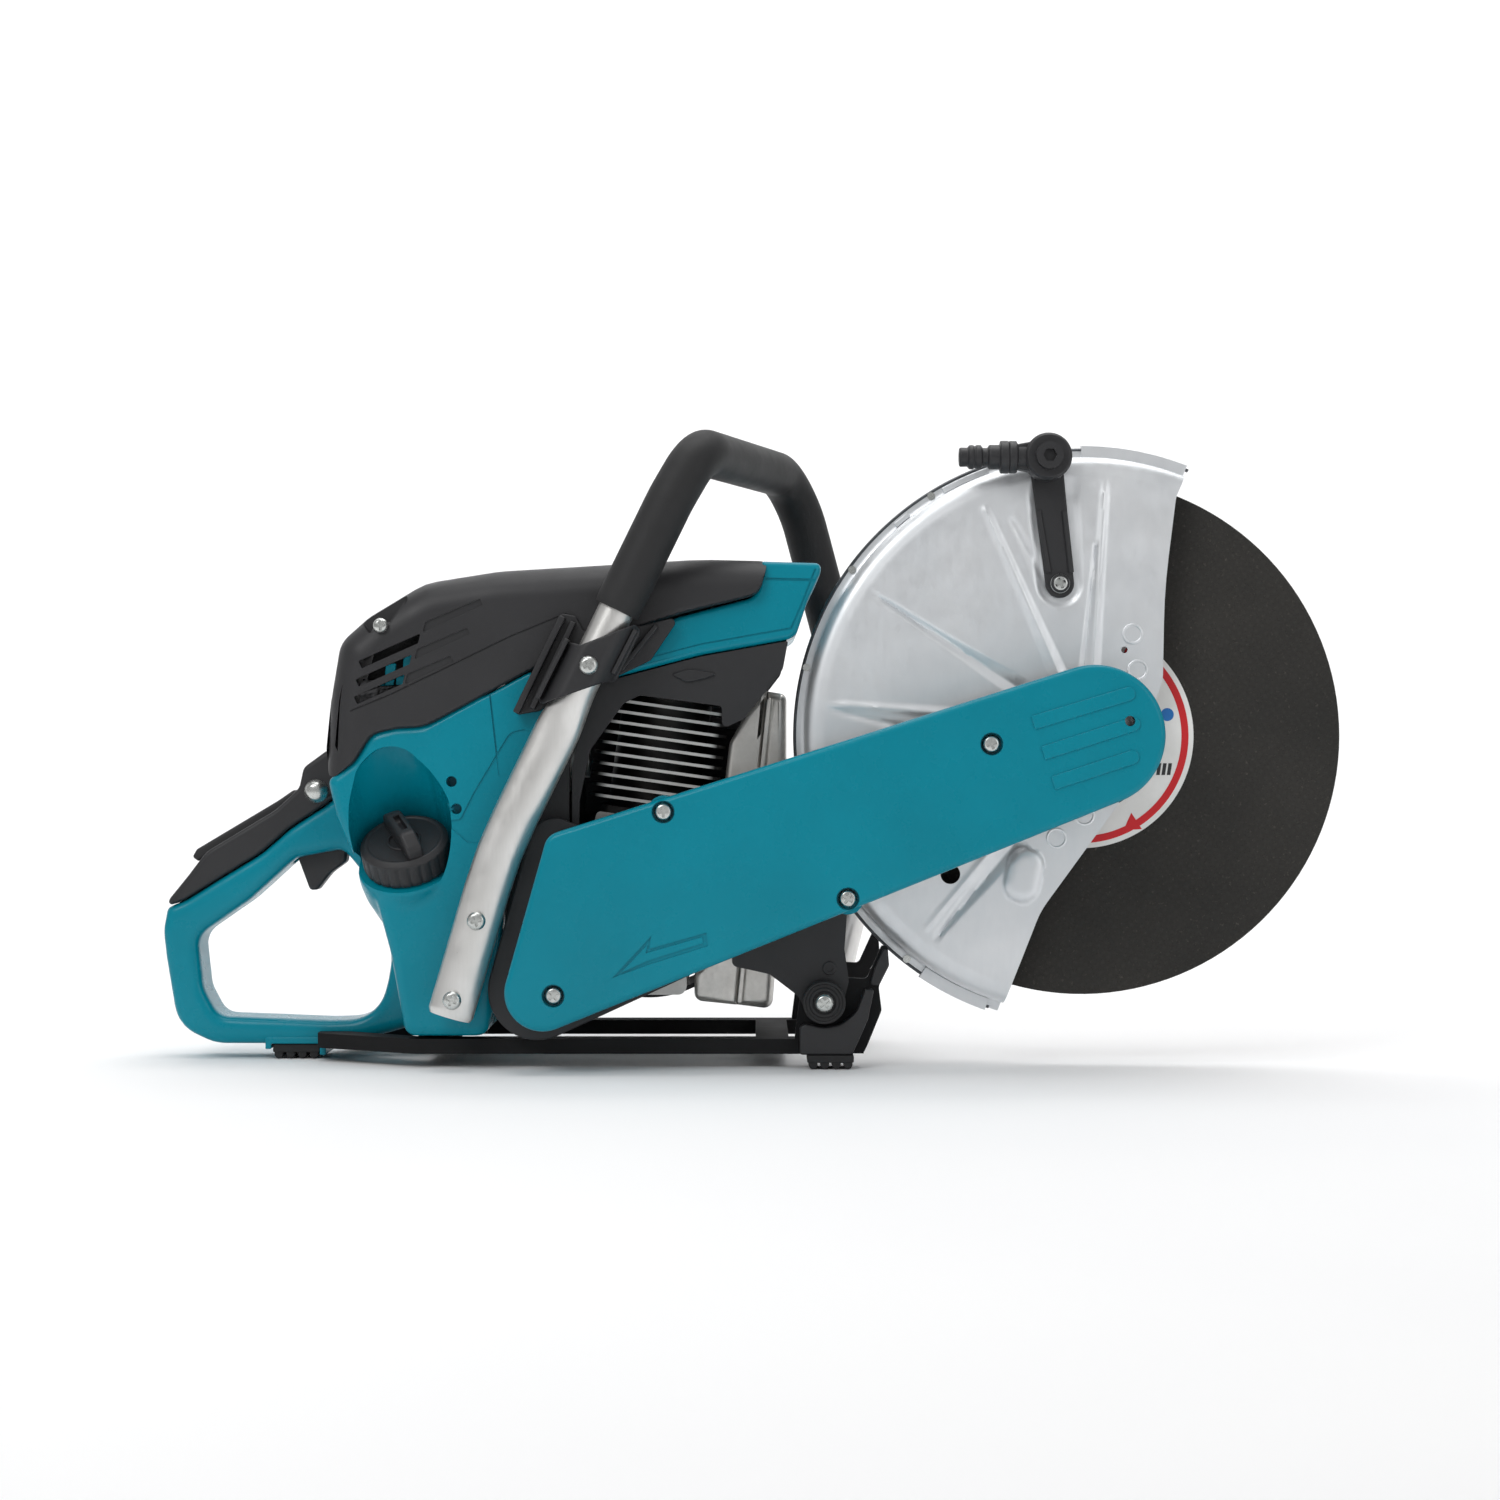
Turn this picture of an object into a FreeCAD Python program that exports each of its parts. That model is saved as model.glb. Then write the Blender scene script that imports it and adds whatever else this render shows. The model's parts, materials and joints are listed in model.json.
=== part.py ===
"""A petrol-engined rescue saw (power cutter) as a parametric FreeCAD document.

Units are millimetres. +X points forward to the wheel, +Y to the operator's left, +Z up.
The origin is on the floor under the middle of the saw. The belt side is the -Y side.
"""
import FreeCAD, Part
import math
import os
import Sketcher
from FreeCAD import Placement, Rotation, Vector

doc = FreeCAD.newDocument("rescue_saw")
sheet = doc.addObject("Spreadsheet::Sheet", "dims")

DIMENSIONS = {
    # wheel and spindle
    "wheel_radius": 175,
    "wheel_near_y": -47,
    "wheel_far_y": -43,
    "bore_radius": 12.7,
    "label_radius": 76,
    "flange_radius": 50,
    "spindle_x": 224.6,
    "spindle_z": 221.5,
    "spindle_radius": 8.5,
    # engine
    "crank_x": -76,
    "crank_z": 112,
    "crank_radius": 7.5,
    "cylinder_tilt": 8,
    "bore_size": 23.5,
    "fin_pitch": 7.3,
    "fin_count": 11,
    "case_half": 46,
    "case_radius": 50,
    # belt drive
    "small_pulley": 17,
    "large_pulley": 36,
    "belt_near_y": -113,
    "belt_far_y": -99,
    "cover_near_y": -126,
    "cover_far_y": -88,
    "cover_nose": 46,
    "cover_wall": 2.6,
    "arm_far_y": -78,
    "hub_radius": 27,
    # wheel guard
    "guard_radius": 188,
    "guard_wall": 2,
    "guard_near_y": -66,
    "guard_joint_y": -42,
    "guard_far_y": -18,
    "guard_lip": 195,
    # handles and housings
    "tube_radius": 13,
    "grip_radius": 16,
    "near_leg_y": -99,
    "far_leg_y": 108,
    "body_near_y": -80,
    "body_far_y": 84,
    "housing_round": 7,
    "handle_half": 22,
    "starter_radius": 74,
    "starter_far_y": 128,
    "cap_radius": 30,
    "cap_x": -230,
    "cap_y": -58,
    "cap_z": 136,
    # base
    "rail_low_z": 9,
    "rail_high_z": 19,
    # fasteners
    "head_radius": 6.2,
    "shank_radius": 2.8,
}
for row, (alias, value) in enumerate(DIMENSIONS.items(), 1):
    sheet.set(f"A{row}", alias.replace("_", " "))
    sheet.set(f"B{row}", str(value))
    sheet.setAlias(f"B{row}", alias)
doc.recompute()


# ---------------------------------------------------------------- driving sizes
class Size(float):
    """A number that remembers the sheet expression it comes from."""

    def __new__(cls, value, text):
        made = super().__new__(cls, value)
        made.text = text
        return made

    def __add__(self, other):
        return Size(float(self) + float(other), f"({self.text} + {written(other)})")

    def __radd__(self, other):
        return self + other

    def __sub__(self, other):
        return Size(float(self) - float(other), f"({self.text} - {written(other)})")

    def __rsub__(self, other):
        return Size(float(other) - float(self), f"({written(other)} - {self.text})")

    def __mul__(self, other):
        return Size(float(self) * float(other), f"({self.text} * {written(other)})")

    def __neg__(self):
        return Size(-float(self), f"(-{self.text})")


def written(value):
    return value.text if isinstance(value, Size) else repr(float(value))


class Dims:
    """Dims().name is the sheet's value of that name, as a Size."""

    def __getattr__(self, name):
        return Size(sheet.get(name), f"dims.{name}")


D = Dims()
pieces = []


def drive(obj, prop, value):
    """Gives a property its value, bound to the sheet where the value comes from it."""
    if isinstance(value, Size):
        obj.setExpression(prop, value.text)
    else:
        setattr(obj, prop, value)


def keep(obj):
    pieces.append(obj)
    return obj


# ---------------------------------------------------------------- bodies and sketches
def new_body(label, at=(0, 0, 0), rotation=None):
    body = doc.addObject("PartDesign::Body", label)
    body.Label = label
    body.Placement = Placement(Vector(*(float(v) for v in at)), rotation or Rotation())
    for axis, value in zip("xyz", at):
        if isinstance(value, Size):
            body.setExpression(f"Placement.Base.{axis}", value.text)
    return keep(body)


def new_sketch(body, role="XZ_Plane", height=0):
    """A sketch on an origin plane, moved by height along +Y for XZ_Plane, else along +Z."""
    sketch = body.newObject("Sketcher::SketchObject", "sketch")
    plane = next(f for f in body.Origin.OriginFeatures if f.Role == role)
    sketch.AttachmentSupport = [(plane, "")]
    sketch.MapMode = "FlatFace"
    offset = -height if role == "XZ_Plane" else height
    sketch.AttachmentOffset = Placement(Vector(0, 0, float(offset)), Rotation())
    if isinstance(offset, Size):
        sketch.setExpression("AttachmentOffset.Base.z", offset.text)
    return sketch


class Fixer:
    """Collects a sketch's constraints and binds those that the sheet drives."""

    def __init__(self, sketch):
        self.sketch = sketch
        self.found = []
        self.bound = {}

    def size(self, kind, *where):
        if isinstance(where[-1], Size):
            self.bound[len(self.found)] = where[-1].text
        self.found.append(Sketcher.Constraint(kind, *where[:-1], float(where[-1])))

    def point(self, geometry, end, x, y):
        self.size("DistanceX", -1, 1, geometry, end, x)
        self.size("DistanceY", -1, 1, geometry, end, y)

    def link(self, kind, *where):
        self.found.append(Sketcher.Constraint(kind, *where))

    def apply(self):
        first = self.sketch.ConstraintCount
        self.sketch.addConstraint(self.found)
        for index, text in self.bound.items():
            self.sketch.setExpression(f"Constraints[{first + index}]", text)


def circle(sketch, x, y, radius):
    centre = Vector(float(x), float(y), 0)
    made = sketch.addGeometry(Part.Circle(centre, Vector(0, 0, 1), float(radius)), False)
    fixer = Fixer(sketch)
    fixer.point(made, 3, x, y)
    fixer.size("Radius", made, radius)
    fixer.apply()


def corners(*points):
    """Turns corner points (x, y, radius) into the circles that round them."""
    area = 0
    for (x0, y0, *_), (x1, y1, *_) in zip(points, points[1:] + points[:1]):
        area += x0 * y1 - x1 * y0
    ring = list(points) if area > 0 else list(reversed(points))
    rounds = []
    for before, (x, y, *size), after in zip(ring[-1:] + ring[:-1], ring, ring[1:] + ring[:1]):
        radius = size[0] if size else 0
        back = Vector(before[0] - x, before[1] - y, 0).normalize()
        ahead = Vector(after[0] - x, after[1] - y, 0).normalize()
        if radius == 0:
            rounds.append((x, y, 0))
            continue
        middle = back + ahead
        half_angle = back.getAngle(ahead) / 2
        middle = middle.normalize() * (radius / math.sin(half_angle))
        left_turn = back.cross(ahead).z < 0
        rounds.append((x + middle.x, y + middle.y, radius if left_turn else -radius))
    return rounds


def inset(rounds, depth):
    """The same outline, depth further in: every corner keeps its centre."""
    return [(x, y, radius - depth) for x, y, radius in rounds]


def tangent_ends(first, second):
    """Where the outline leaves the first corner circle and meets the second."""
    (x0, y0, r0), (x1, y1, r1) = first, second
    across = Vector(float(x1 - x0), float(y1 - y0), 0)
    along = (float(r0) - float(r1)) / across.Length
    across.normalize()
    right = Vector(across.y, -across.x, 0)
    normal = across * along + right * math.sqrt(1 - along * along)
    start = Vector(float(x0), float(y0), 0) + normal * float(r0)
    return start, Vector(float(x1), float(y1), 0) + normal * float(r1)


def loop(sketch, rounds):
    """A closed outline, anticlockwise, of straight lines tangent to its corner circles."""
    count = len(rounds)
    lines = []
    for index, here in enumerate(rounds):
        ends = tangent_ends(here, rounds[(index + 1) % count])
        lines.append(sketch.addGeometry(Part.LineSegment(*ends), False))
    fixer = Fixer(sketch)
    for index, (x, y, radius) in enumerate(rounds):
        before, after = lines[index - 1], lines[index]
        if radius == 0:
            fixer.link("Coincident", before, 2, after, 1)
            fixer.point(after, 1, x, y)
            continue
        centre = Vector(float(x), float(y), 0)
        arrive = sketch.getPoint(before, 2) - centre
        leave = sketch.getPoint(after, 1) - centre
        spans = [math.atan2(arrive.y, arrive.x), math.atan2(leave.y, leave.x)]
        ends = (1, 2) if radius > 0 else (2, 1)
        if radius < 0:
            spans.reverse()
        full = Part.Circle(centre, Vector(0, 0, 1), abs(float(radius)))
        arc = sketch.addGeometry(Part.ArcOfCircle(full, *spans), False)
        fixer.link("Tangent", before, 2, arc, ends[0])
        fixer.link("Tangent", after, 1, arc, ends[1])
        fixer.point(arc, 3, x, y)
        fixer.size("Radius", arc, radius if radius > 0 else -radius)
    fixer.apply()


def draw(sketch, shapes):
    """Each shape is a list of corner circles, or one (x, y, radius) full circle."""
    for shape in shapes:
        if isinstance(shape, tuple):
            circle(sketch, *shape)
        else:
            loop(sketch, shape)


def pad(body, near, far, *shapes, role="XZ_Plane"):
    """Material between two heights along +Y, or along +Z for a sketch on XY_Plane."""
    along_y = role == "XZ_Plane"
    sketch = new_sketch(body, role, far if along_y else near)
    draw(sketch, shapes)
    feature = body.newObject("PartDesign::Pad", "pad")
    feature.Profile = sketch
    drive(feature, "Length", far - near)
    return feature


def pocket(body, near, far, *shapes, role="XZ_Plane"):
    """Cuts between two heights and stops if nothing was cut."""
    doc.recompute()
    before = body.Tip.Shape.Volume
    along_y = role == "XZ_Plane"
    sketch = new_sketch(body, role, near if along_y else far)
    draw(sketch, shapes)
    feature = body.newObject("PartDesign::Pocket", "pocket")
    feature.Profile = sketch
    drive(feature, "Length", far - near)
    doc.recompute()
    if feature.Shape.isNull() or not feature.Shape.Volume < before - 0.5:
        raise RuntimeError(f"pocket cuts nothing in {body.Label}")
    return feature


def revolve(body, profile, cut=False):
    """Turns an outline of (radius, height) points about the body's own Y axis."""
    sketch = new_sketch(body, "XY_Plane")
    loop(sketch, corners(*profile))
    feature = body.newObject(f"PartDesign::{'Groove' if cut else 'Revolution'}", "turned")
    feature.Profile = sketch
    feature.ReferenceAxis = (sketch, ["V_Axis"])
    feature.Angle = 360
    return feature


def polar(body, feature, count):
    """Repeats a feature evenly round the body's own Y axis."""
    pattern = body.newObject("PartDesign::PolarPattern", "pattern")
    pattern.Originals = [feature]
    axis = next(f for f in body.Origin.OriginFeatures if f.Role == "Y_Axis")
    pattern.Axis = (axis, [""])
    pattern.Angle = 360
    pattern.Occurrences = count
    body.Tip = pattern
    return pattern


def dress(body, kind, size, wanted):
    """Fillet or Chamfer on the edges that wanted(edge) picks."""
    doc.recompute()
    base = body.Tip
    names = [f"Edge{n}" for n, edge in enumerate(base.Shape.Edges, 1) if wanted(edge)]
    feature = body.newObject(f"PartDesign::{kind}", kind.lower())
    feature.Base = (base, names)
    setattr(feature, "Radius" if kind == "Fillet" else "Size", size)
    doc.recompute()
    if "Invalid" in feature.State:
        raise RuntimeError(f"{kind} of {size} fails on {len(names)} edges of {body.Label}")
    return feature


def at_y(*heights):
    """Picks the edges that lie flat at one of these heights along Y."""

    def wanted(edge):
        box = edge.BoundBox
        if box.YLength > 0.01:
            return False
        return any(abs(box.YMin - float(height)) < 0.01 for height in heights)

    return wanted


def slab(label, near, far, *shapes):
    """A plate or block whose outline is seen from the side of the saw."""
    body = new_body(label)
    pad(body, near, far, *shapes)
    return body


def turned(label, x, z, *profile):
    """A round part about an axis along Y, from (radius, y) points."""
    body = new_body(label, (x, 0, z))
    revolve(body, profile)
    return body


def plain(label, shape):
    """A shape made by Part's own functions, in a node of its own."""
    made = doc.addObject("Part::Feature", label)
    made.Label = label
    made.Shape = shape
    return keep(made)


# ---------------------------------------------------------------- small shapes in Part
def rod(start, direction, radius, length):
    return Part.makeCylinder(float(radius), float(length), Vector(*start), Vector(*direction))


def screw_shape(at, direction, length, head=None, shank=None, head_height=4):
    """A pan-head screw with a six-lobed socket. at is under the head, direction to the tip."""
    head = float(head or D.head_radius)
    shank = float(shank or D.shank_radius)
    cap = Part.makeCylinder(head, head_height)
    rim = [edge for edge in cap.Edges if abs(edge.BoundBox.ZMin - head_height) < 0.01]
    cap = cap.makeFillet(head_height * 0.35, [e for e in rim if e.Closed])
    lobe = head * 0.14
    socket = Part.makeCylinder(head * 0.44, head_height, Vector(0, 0, head_height * 0.45))
    for turn in range(6):
        angle = math.radians(60 * turn)
        x, y = head * 0.42 * math.cos(angle), head * 0.42 * math.sin(angle)
        tip = Part.makeCylinder(lobe, head_height, Vector(x, y, head_height * 0.45))
        socket = socket.fuse(tip)
    whole = cap.cut(socket).fuse(Part.makeCylinder(shank, length, Vector(), Vector(0, 0, -1)))
    whole.Placement = Placement(Vector(*at), Rotation(Vector(0, 0, -1), Vector(*direction)))
    return whole


def rounded_path(points, radii):
    """Straight runs through the points, joined by arcs of the given radii."""
    spots = [Vector(*(float(v) for v in point)) for point in points]
    edges, start = [], spots[0]
    for before, here, after, radius in zip(spots, spots[1:], spots[2:], radii):
        back, ahead = (before - here).normalize(), (after - here).normalize()
        half = back.getAngle(ahead) / 2
        reach = radius / math.tan(half)
        centre = here + (back + ahead).normalize() * (radius / math.sin(half))
        enter, leave = here + back * reach, here + ahead * reach
        inner = centre + (here - centre).normalize() * radius
        edges.append(Part.LineSegment(start, enter).toShape())
        edges.append(Part.Arc(enter, inner, leave).toShape())
        start = leave
    edges.append(Part.LineSegment(start, spots[-1]).toShape())
    return edges


def pipe(edges, radius):
    """A round solid of that radius along the path."""
    path = Part.Wire(edges)
    start = edges[0].valueAt(edges[0].FirstParameter)
    toward = edges[0].tangentAt(edges[0].FirstParameter)
    ring = Part.Wire(Part.Circle(start, toward, float(radius)).toShape())
    return path.makePipeShell([ring], True, False)


def hexagon(start, across, depth):
    """A six-sided bar along +Y, across is from its middle to a flat."""
    reach = across / math.cos(math.radians(30))
    spots = []
    for turn in range(7):
        angle = math.radians(60 * turn)
        spots.append(Vector(reach * math.cos(angle), 0, reach * math.sin(angle)))
    bar = Part.Face(Part.makePolygon(spots)).extrude(Vector(0, depth, 0))
    bar.translate(Vector(*(float(v) for v in start)))
    return bar


# ---------------------------------------------------------------- wheel and spindle
def make_wheel():
    turned(
        "cutting_wheel", D.spindle_x, D.spindle_z,
        (D.bore_radius, D.wheel_near_y), (D.wheel_radius, D.wheel_near_y, 0.5),
        (D.wheel_radius, D.wheel_far_y, 0.5), (D.bore_radius, D.wheel_far_y),
    )


def make_flanges():
    near, far = D.wheel_near_y, D.wheel_far_y
    edge = D.flange_radius
    turned(
        "inner_flange", D.spindle_x, D.spindle_z,
        (D.spindle_radius, near - 7), (24, near - 7), (edge - 8, near - 6, 2),
        (edge, near - 2.5), (edge, near), (edge - 12, near), (edge - 12, near - 1.5),
        (D.bore_radius - 0.05, near - 1.5), (D.bore_radius - 0.05, far - 0.5),
        (D.spindle_radius, far - 0.5),
    )
    bolt = 5
    turned(
        "outer_flange", D.spindle_x, D.spindle_z,
        (bolt + 0.1, far), (edge - 12, far), (edge - 12, far + 0.1), (edge - 12, far + 1.5),
        (edge - 10, far + 1.5), (edge - 10, far), (edge, far), (edge, far + 3, 1),
        (edge - 10, far + 6, 2), (18, far + 7), (bolt + 0.1, far + 7),
    )
    head = new_body("wheel_bolt", (D.spindle_x, 0, D.spindle_z))
    revolve(head, ((0, far + 17), (0, far - 22), (bolt, far - 22), (bolt, far + 7),
                   (14, far + 7), (14, far + 9), (10, far + 9), (10, far + 17, 1)))
    across = 8.5 / math.cos(math.radians(30))
    spots = []
    for turn in range(6):
        angle = math.radians(60 * turn)
        spots.append((across * math.cos(angle), across * math.sin(angle)))
    outer = (0.0, 0.0, 16.0)
    pocket(head, far + 9, far + 17, outer, corners(*spots))


def make_spindle():
    near = D.belt_near_y
    turned(
        "spindle", D.spindle_x, D.spindle_z,
        (0, near - 8), (D.spindle_radius - 3, near - 8, 0.4), (D.spindle_radius - 3, near - 7),
        (11, near - 7, 1), (11, near - 0.5), (D.spindle_radius, near - 0.5),
        (D.spindle_radius, D.wheel_far_y - 0.5), (5.1, D.wheel_far_y - 0.5),
        (5.1, D.wheel_far_y - 24), (0, D.wheel_far_y - 24),
    )
    races = []
    for far in (D.arm_far_y + 4, D.arm_far_y + 19):
        races.append(bearing_shape(D.spindle_x, D.spindle_z, far - 12, far, 8.5, 20))
    for near in (-36, 25):
        races.append(bearing_shape(D.crank_x, D.crank_z, near, near + 11, 7.5, 17.5))
    plain("ball_bearings", Part.makeCompound(races))


def bearing_shape(x, z, near, far, inner, outer):
    """A sealed ball bearing: two rings and the shield between them, one solid."""
    start = (x, near, z)
    width = float(far - near)
    ring = rod(start, (0, 1, 0), outer, width).cut(rod(start, (0, 1, 0), inner, width))
    third = (outer - inner) / 3
    for face in (near, far - 0.6):
        spot = (x, face, z)
        groove = rod(spot, (0, 1, 0), outer - third, 0.6)
        ring = ring.cut(groove.cut(rod(spot, (0, 1, 0), inner + third, 0.6)))
    return ring


def make_pulleys():
    near, far = D.belt_near_y, D.belt_far_y
    turned(
        "spindle_pulley", D.spindle_x, D.spindle_z,
        (D.spindle_radius, near - 0.5), (16, near - 0.5), (16, near + 4),
        (D.large_pulley - 8, near + 4), (D.large_pulley - 8, near - 1.5),
        (D.large_pulley + 3, near - 1.5, 0.5), (D.large_pulley + 3, near, 0.5),
        (D.large_pulley, near), (D.large_pulley, far), (D.large_pulley + 3, far, 0.5),
        (D.large_pulley + 3, far + 1.5, 0.5), (D.spindle_radius, far + 1.5),
    )
    turned(
        "clutch_drum", D.crank_x, D.crank_z,
        (D.crank_radius + 0.06, near - 1.5), (D.small_pulley + 3, near - 1.5, 0.5),
        (D.small_pulley + 3, near, 0.5), (D.small_pulley, near), (D.small_pulley, far),
        (38, far), (38, far + 17), (35, far + 17), (35, far + 3), (D.crank_radius + 0.06, far + 3),
    )
    gap, thick = 0.4, 4.5
    shapes = []
    for out in (gap + thick, gap):
        shapes.append([
            (D.crank_x, D.crank_z, D.small_pulley + out),
            (D.spindle_x, D.spindle_z, D.large_pulley + out),
        ])
    slab("drive_belt", near + 1, far - 1, *shapes)


def cover_outline():
    """Belt cover and arm from the side: two rear corners and the round nose."""
    return [(-135, 53.7, 25), (D.spindle_x, D.spindle_z, D.cover_nose), (-122.2, 147, 12)]


COVER_SCREWS = ((157.2, 215.9), (63.7, 115.2), (-56.5, 171.7), (-128, 52))


def make_belt_cover():
    near, far, wall = D.cover_near_y, D.cover_far_y, D.cover_wall
    outline = cover_outline()
    cover = slab("belt_cover", near, far, outline)
    dress(cover, "Fillet", 6, at_y(near))
    pocket(cover, near + wall, far, inset(outline, wall))
    pad(cover, near + wall, far, *[(x, z, 10) for x, z in COVER_SCREWS])
    pocket(cover, near, near + 6, *[(x, z, 8.6) for x, z in COVER_SCREWS])
    pocket(cover, near, far, *[(x, z, 3.1) for x, z in COVER_SCREWS])
    pocket(cover, near, near + wall, (246.9, 230.8, 3.2))
    for low, high in RIBS:
        rib = rib_outline(low, high, 2.2)
        pad(cover, near - 1.2, near + 1, rib)


RIBS = (
    ((183.8, 234.1), (250.1, 254.2)),
    ((190.3, 213.3), (253.4, 239.3)),
    ((196.8, 193.8), (256.6, 215.2)),
)


def rib_outline(low, high, half):
    """A straight rib with round ends."""
    return [(*low, half), (*high, half)]


def make_arm():
    outline = inset(cover_outline(), 0.5)
    near, far = D.cover_far_y, D.arm_far_y
    arm = slab("cutting_arm", near, far, outline)
    pad(arm, far, D.guard_near_y - 0.4, (D.spindle_x, D.spindle_z, D.hub_radius + 8))
    pad(arm, far, far + 21, (D.spindle_x, D.spindle_z, D.hub_radius))
    pocket(arm, near, far + 21, (D.spindle_x, D.spindle_z, 12))
    pocket(arm, near + 2, far + 20, (D.spindle_x, D.spindle_z, 20))
    pocket(arm, near, far, (D.crank_x, D.crank_z, 43))
    pocket(arm, near, near + 6, corners(
        (10, 120, 8), (110, 155, 8), (170, 190, 8), (150, 205, 8), (20, 162, 8)))
    pocket(arm, near, far, *[(x, z, 2.9) for x, z in COVER_SCREWS])


# ---------------------------------------------------------------- wheel guard
def guard_cut():
    """The open front of the guard: all that lies ahead of its edge."""
    return corners(
        (300, 412), (286, 382, 20), (278, 320, 400), (277, 259, 30), (249, 178, 60),
        (195, 104, 60), (166, 30), (166, 0), (460, 0), (460, 460), (310, 460),
    )


def guard_half(label, face, joint, hole, lip):
    """A pressed dish from its face to the joint, with a flat lip where the halves meet."""
    wall = D.guard_wall if joint > face else -D.guard_wall
    rim = D.guard_radius
    if joint > face:
        body = turned(
            label, D.spindle_x, D.spindle_z,
            (hole, face), (rim, face, 14), (rim, joint - wall), (lip, joint - wall),
            (lip, joint), (rim - D.guard_wall, joint, 0), (rim - D.guard_wall, face + wall, 12),
            (hole, face + wall),
        )
    else:
        body = turned(
            label, D.spindle_x, D.spindle_z,
            (hole, face + wall), (rim - D.guard_wall, face + wall, 12),
            (rim - D.guard_wall, joint, 0), (lip, joint), (lip, joint - wall),
            (rim, joint - wall), (rim, face, 14), (hole, face),
        )
    low, high = min(face, joint) - 1, max(face, joint) + 1
    shifted = [(x - D.spindle_x, z - D.spindle_z, r) for x, z, r in guard_cut()]
    pocket(body, low, high, shifted)
    pocket(body, low, high, *[(x, z, 1.5) for x, z in rivet_spots()])
    return body


def rivet_spots():
    """The rivets round the joint of the guard, from the spindle."""
    middle = float(D.guard_radius) + 4
    spots = []
    for degrees in range(78, 233, 22):
        angle = math.radians(degrees)
        spots.append((middle * math.cos(angle), middle * math.sin(angle)))
    return spots


def make_guard():
    joint, hole = D.guard_joint_y, D.hub_radius + 0.3
    near_half = guard_half("guard_near_half", D.guard_near_y, joint, hole, D.guard_lip)
    guard_half("guard_far_half", D.guard_far_y, joint, 96, D.guard_lip)
    foot_x, foot_z = WATER_FOOT[0] - D.spindle_x, WATER_FOOT[1] - D.spindle_z
    pocket(near_half, D.guard_near_y - 1, D.guard_near_y + 3, (foot_x, foot_z, 3))
    rivets = []
    for across, up in rivet_spots():
        x, z = D.spindle_x + across, D.spindle_z + up
        low = D.guard_joint_y - D.guard_wall
        shape = rod((x, low - 1.2, z), (0, 1, 0), 2.6, 1.2)
        shape = shape.fuse(rod((x, low - 0.1, z), (0, 1, 0), 1.4, 4.2))
        shape = shape.fuse(rod((x, low + 4, z), (0, 1, 0), 2.6, 1.2))
        rivets.append(shape)
    plain("guard_rivets", Part.makeCompound(rivets))
    face = D.guard_near_y + D.guard_wall
    turned("guard_retaining_ring", D.spindle_x, D.spindle_z,
           (D.hub_radius, face + 0.4), (D.hub_radius + 9, face + 0.4, 0.5),
           (D.hub_radius + 9, face + 2.6, 0.5), (D.hub_radius, face + 2.6))


WATER_TOP = (198.2, 407)
WATER_FOOT = (207.7, 323.5)


def make_water_kit():
    face = D.guard_near_y
    strip = slab("water_pipe_bracket", face - 3, face, [(*WATER_FOOT, 9.5), (*WATER_TOP, 9)])
    pocket(strip, face - 3, face, (*WATER_FOOT, 3))
    hub_x, hub_z = WATER_TOP
    banjo_bolt = rod((hub_x, face - 31, hub_z), (0, 1, 0), 9, 6)
    banjo_bolt = banjo_bolt.fuse(rod((hub_x, face - 25, hub_z), (0, 1, 0), 4, 22))
    banjo_bolt = banjo_bolt.cut(hexagon((hub_x, face - 31, hub_z), 4, 4))
    small = screw_shape((WATER_FOOT[0], face - 3, WATER_FOOT[1]), (0, 1, 0), 9)
    plain("water_kit_screws", Part.makeCompound([banjo_bolt, small]))
    near, far = face - 24.6, face - 3.4
    banjo = rod((hub_x, near, hub_z), (0, 1, 0), 15.5, far - near)
    banjo = banjo.fuse(rod((hub_x, (near + far) / 2, hub_z), (-1, 0, 0), 8.5, 26))
    banjo = banjo.cut(rod((hub_x, near, hub_z), (0, 1, 0), 4.1, far - near))
    plain("water_banjo", banjo)
    centre = (hub_x - 26, (near + far) / 2, hub_z)
    nipple = rod(centre, (-1, 0, 0), 11, 6)
    for step, radius, length in ((6, 8, 8), (14, 6, 4), (18, 8, 9), (27, 6.5, 6)):
        nipple = nipple.fuse(rod((centre[0] - step, *centre[1:]), (-1, 0, 0), radius, length))
    nipple = nipple.cut(rod(centre, (-1, 0, 0), 3.5, 34))
    plain("water_nipple", nipple)


# ---------------------------------------------------------------- engine
def lean():
    """The cylinder's own frame: Z along its axis, which leans forward."""
    return Rotation(Vector(0, 1, 0), float(D.cylinder_tilt))


def up_bore(height, across=0.0):
    """A point of the cylinder's axis plane, seen from the side."""
    angle = math.radians(D.cylinder_tilt)
    x = D.crank_x + height * math.sin(angle) + across * math.cos(angle)
    return x, D.crank_z + height * math.cos(angle) - across * math.sin(angle)


CASE_TOP = 54
PISTON_PIN = 96


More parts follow.
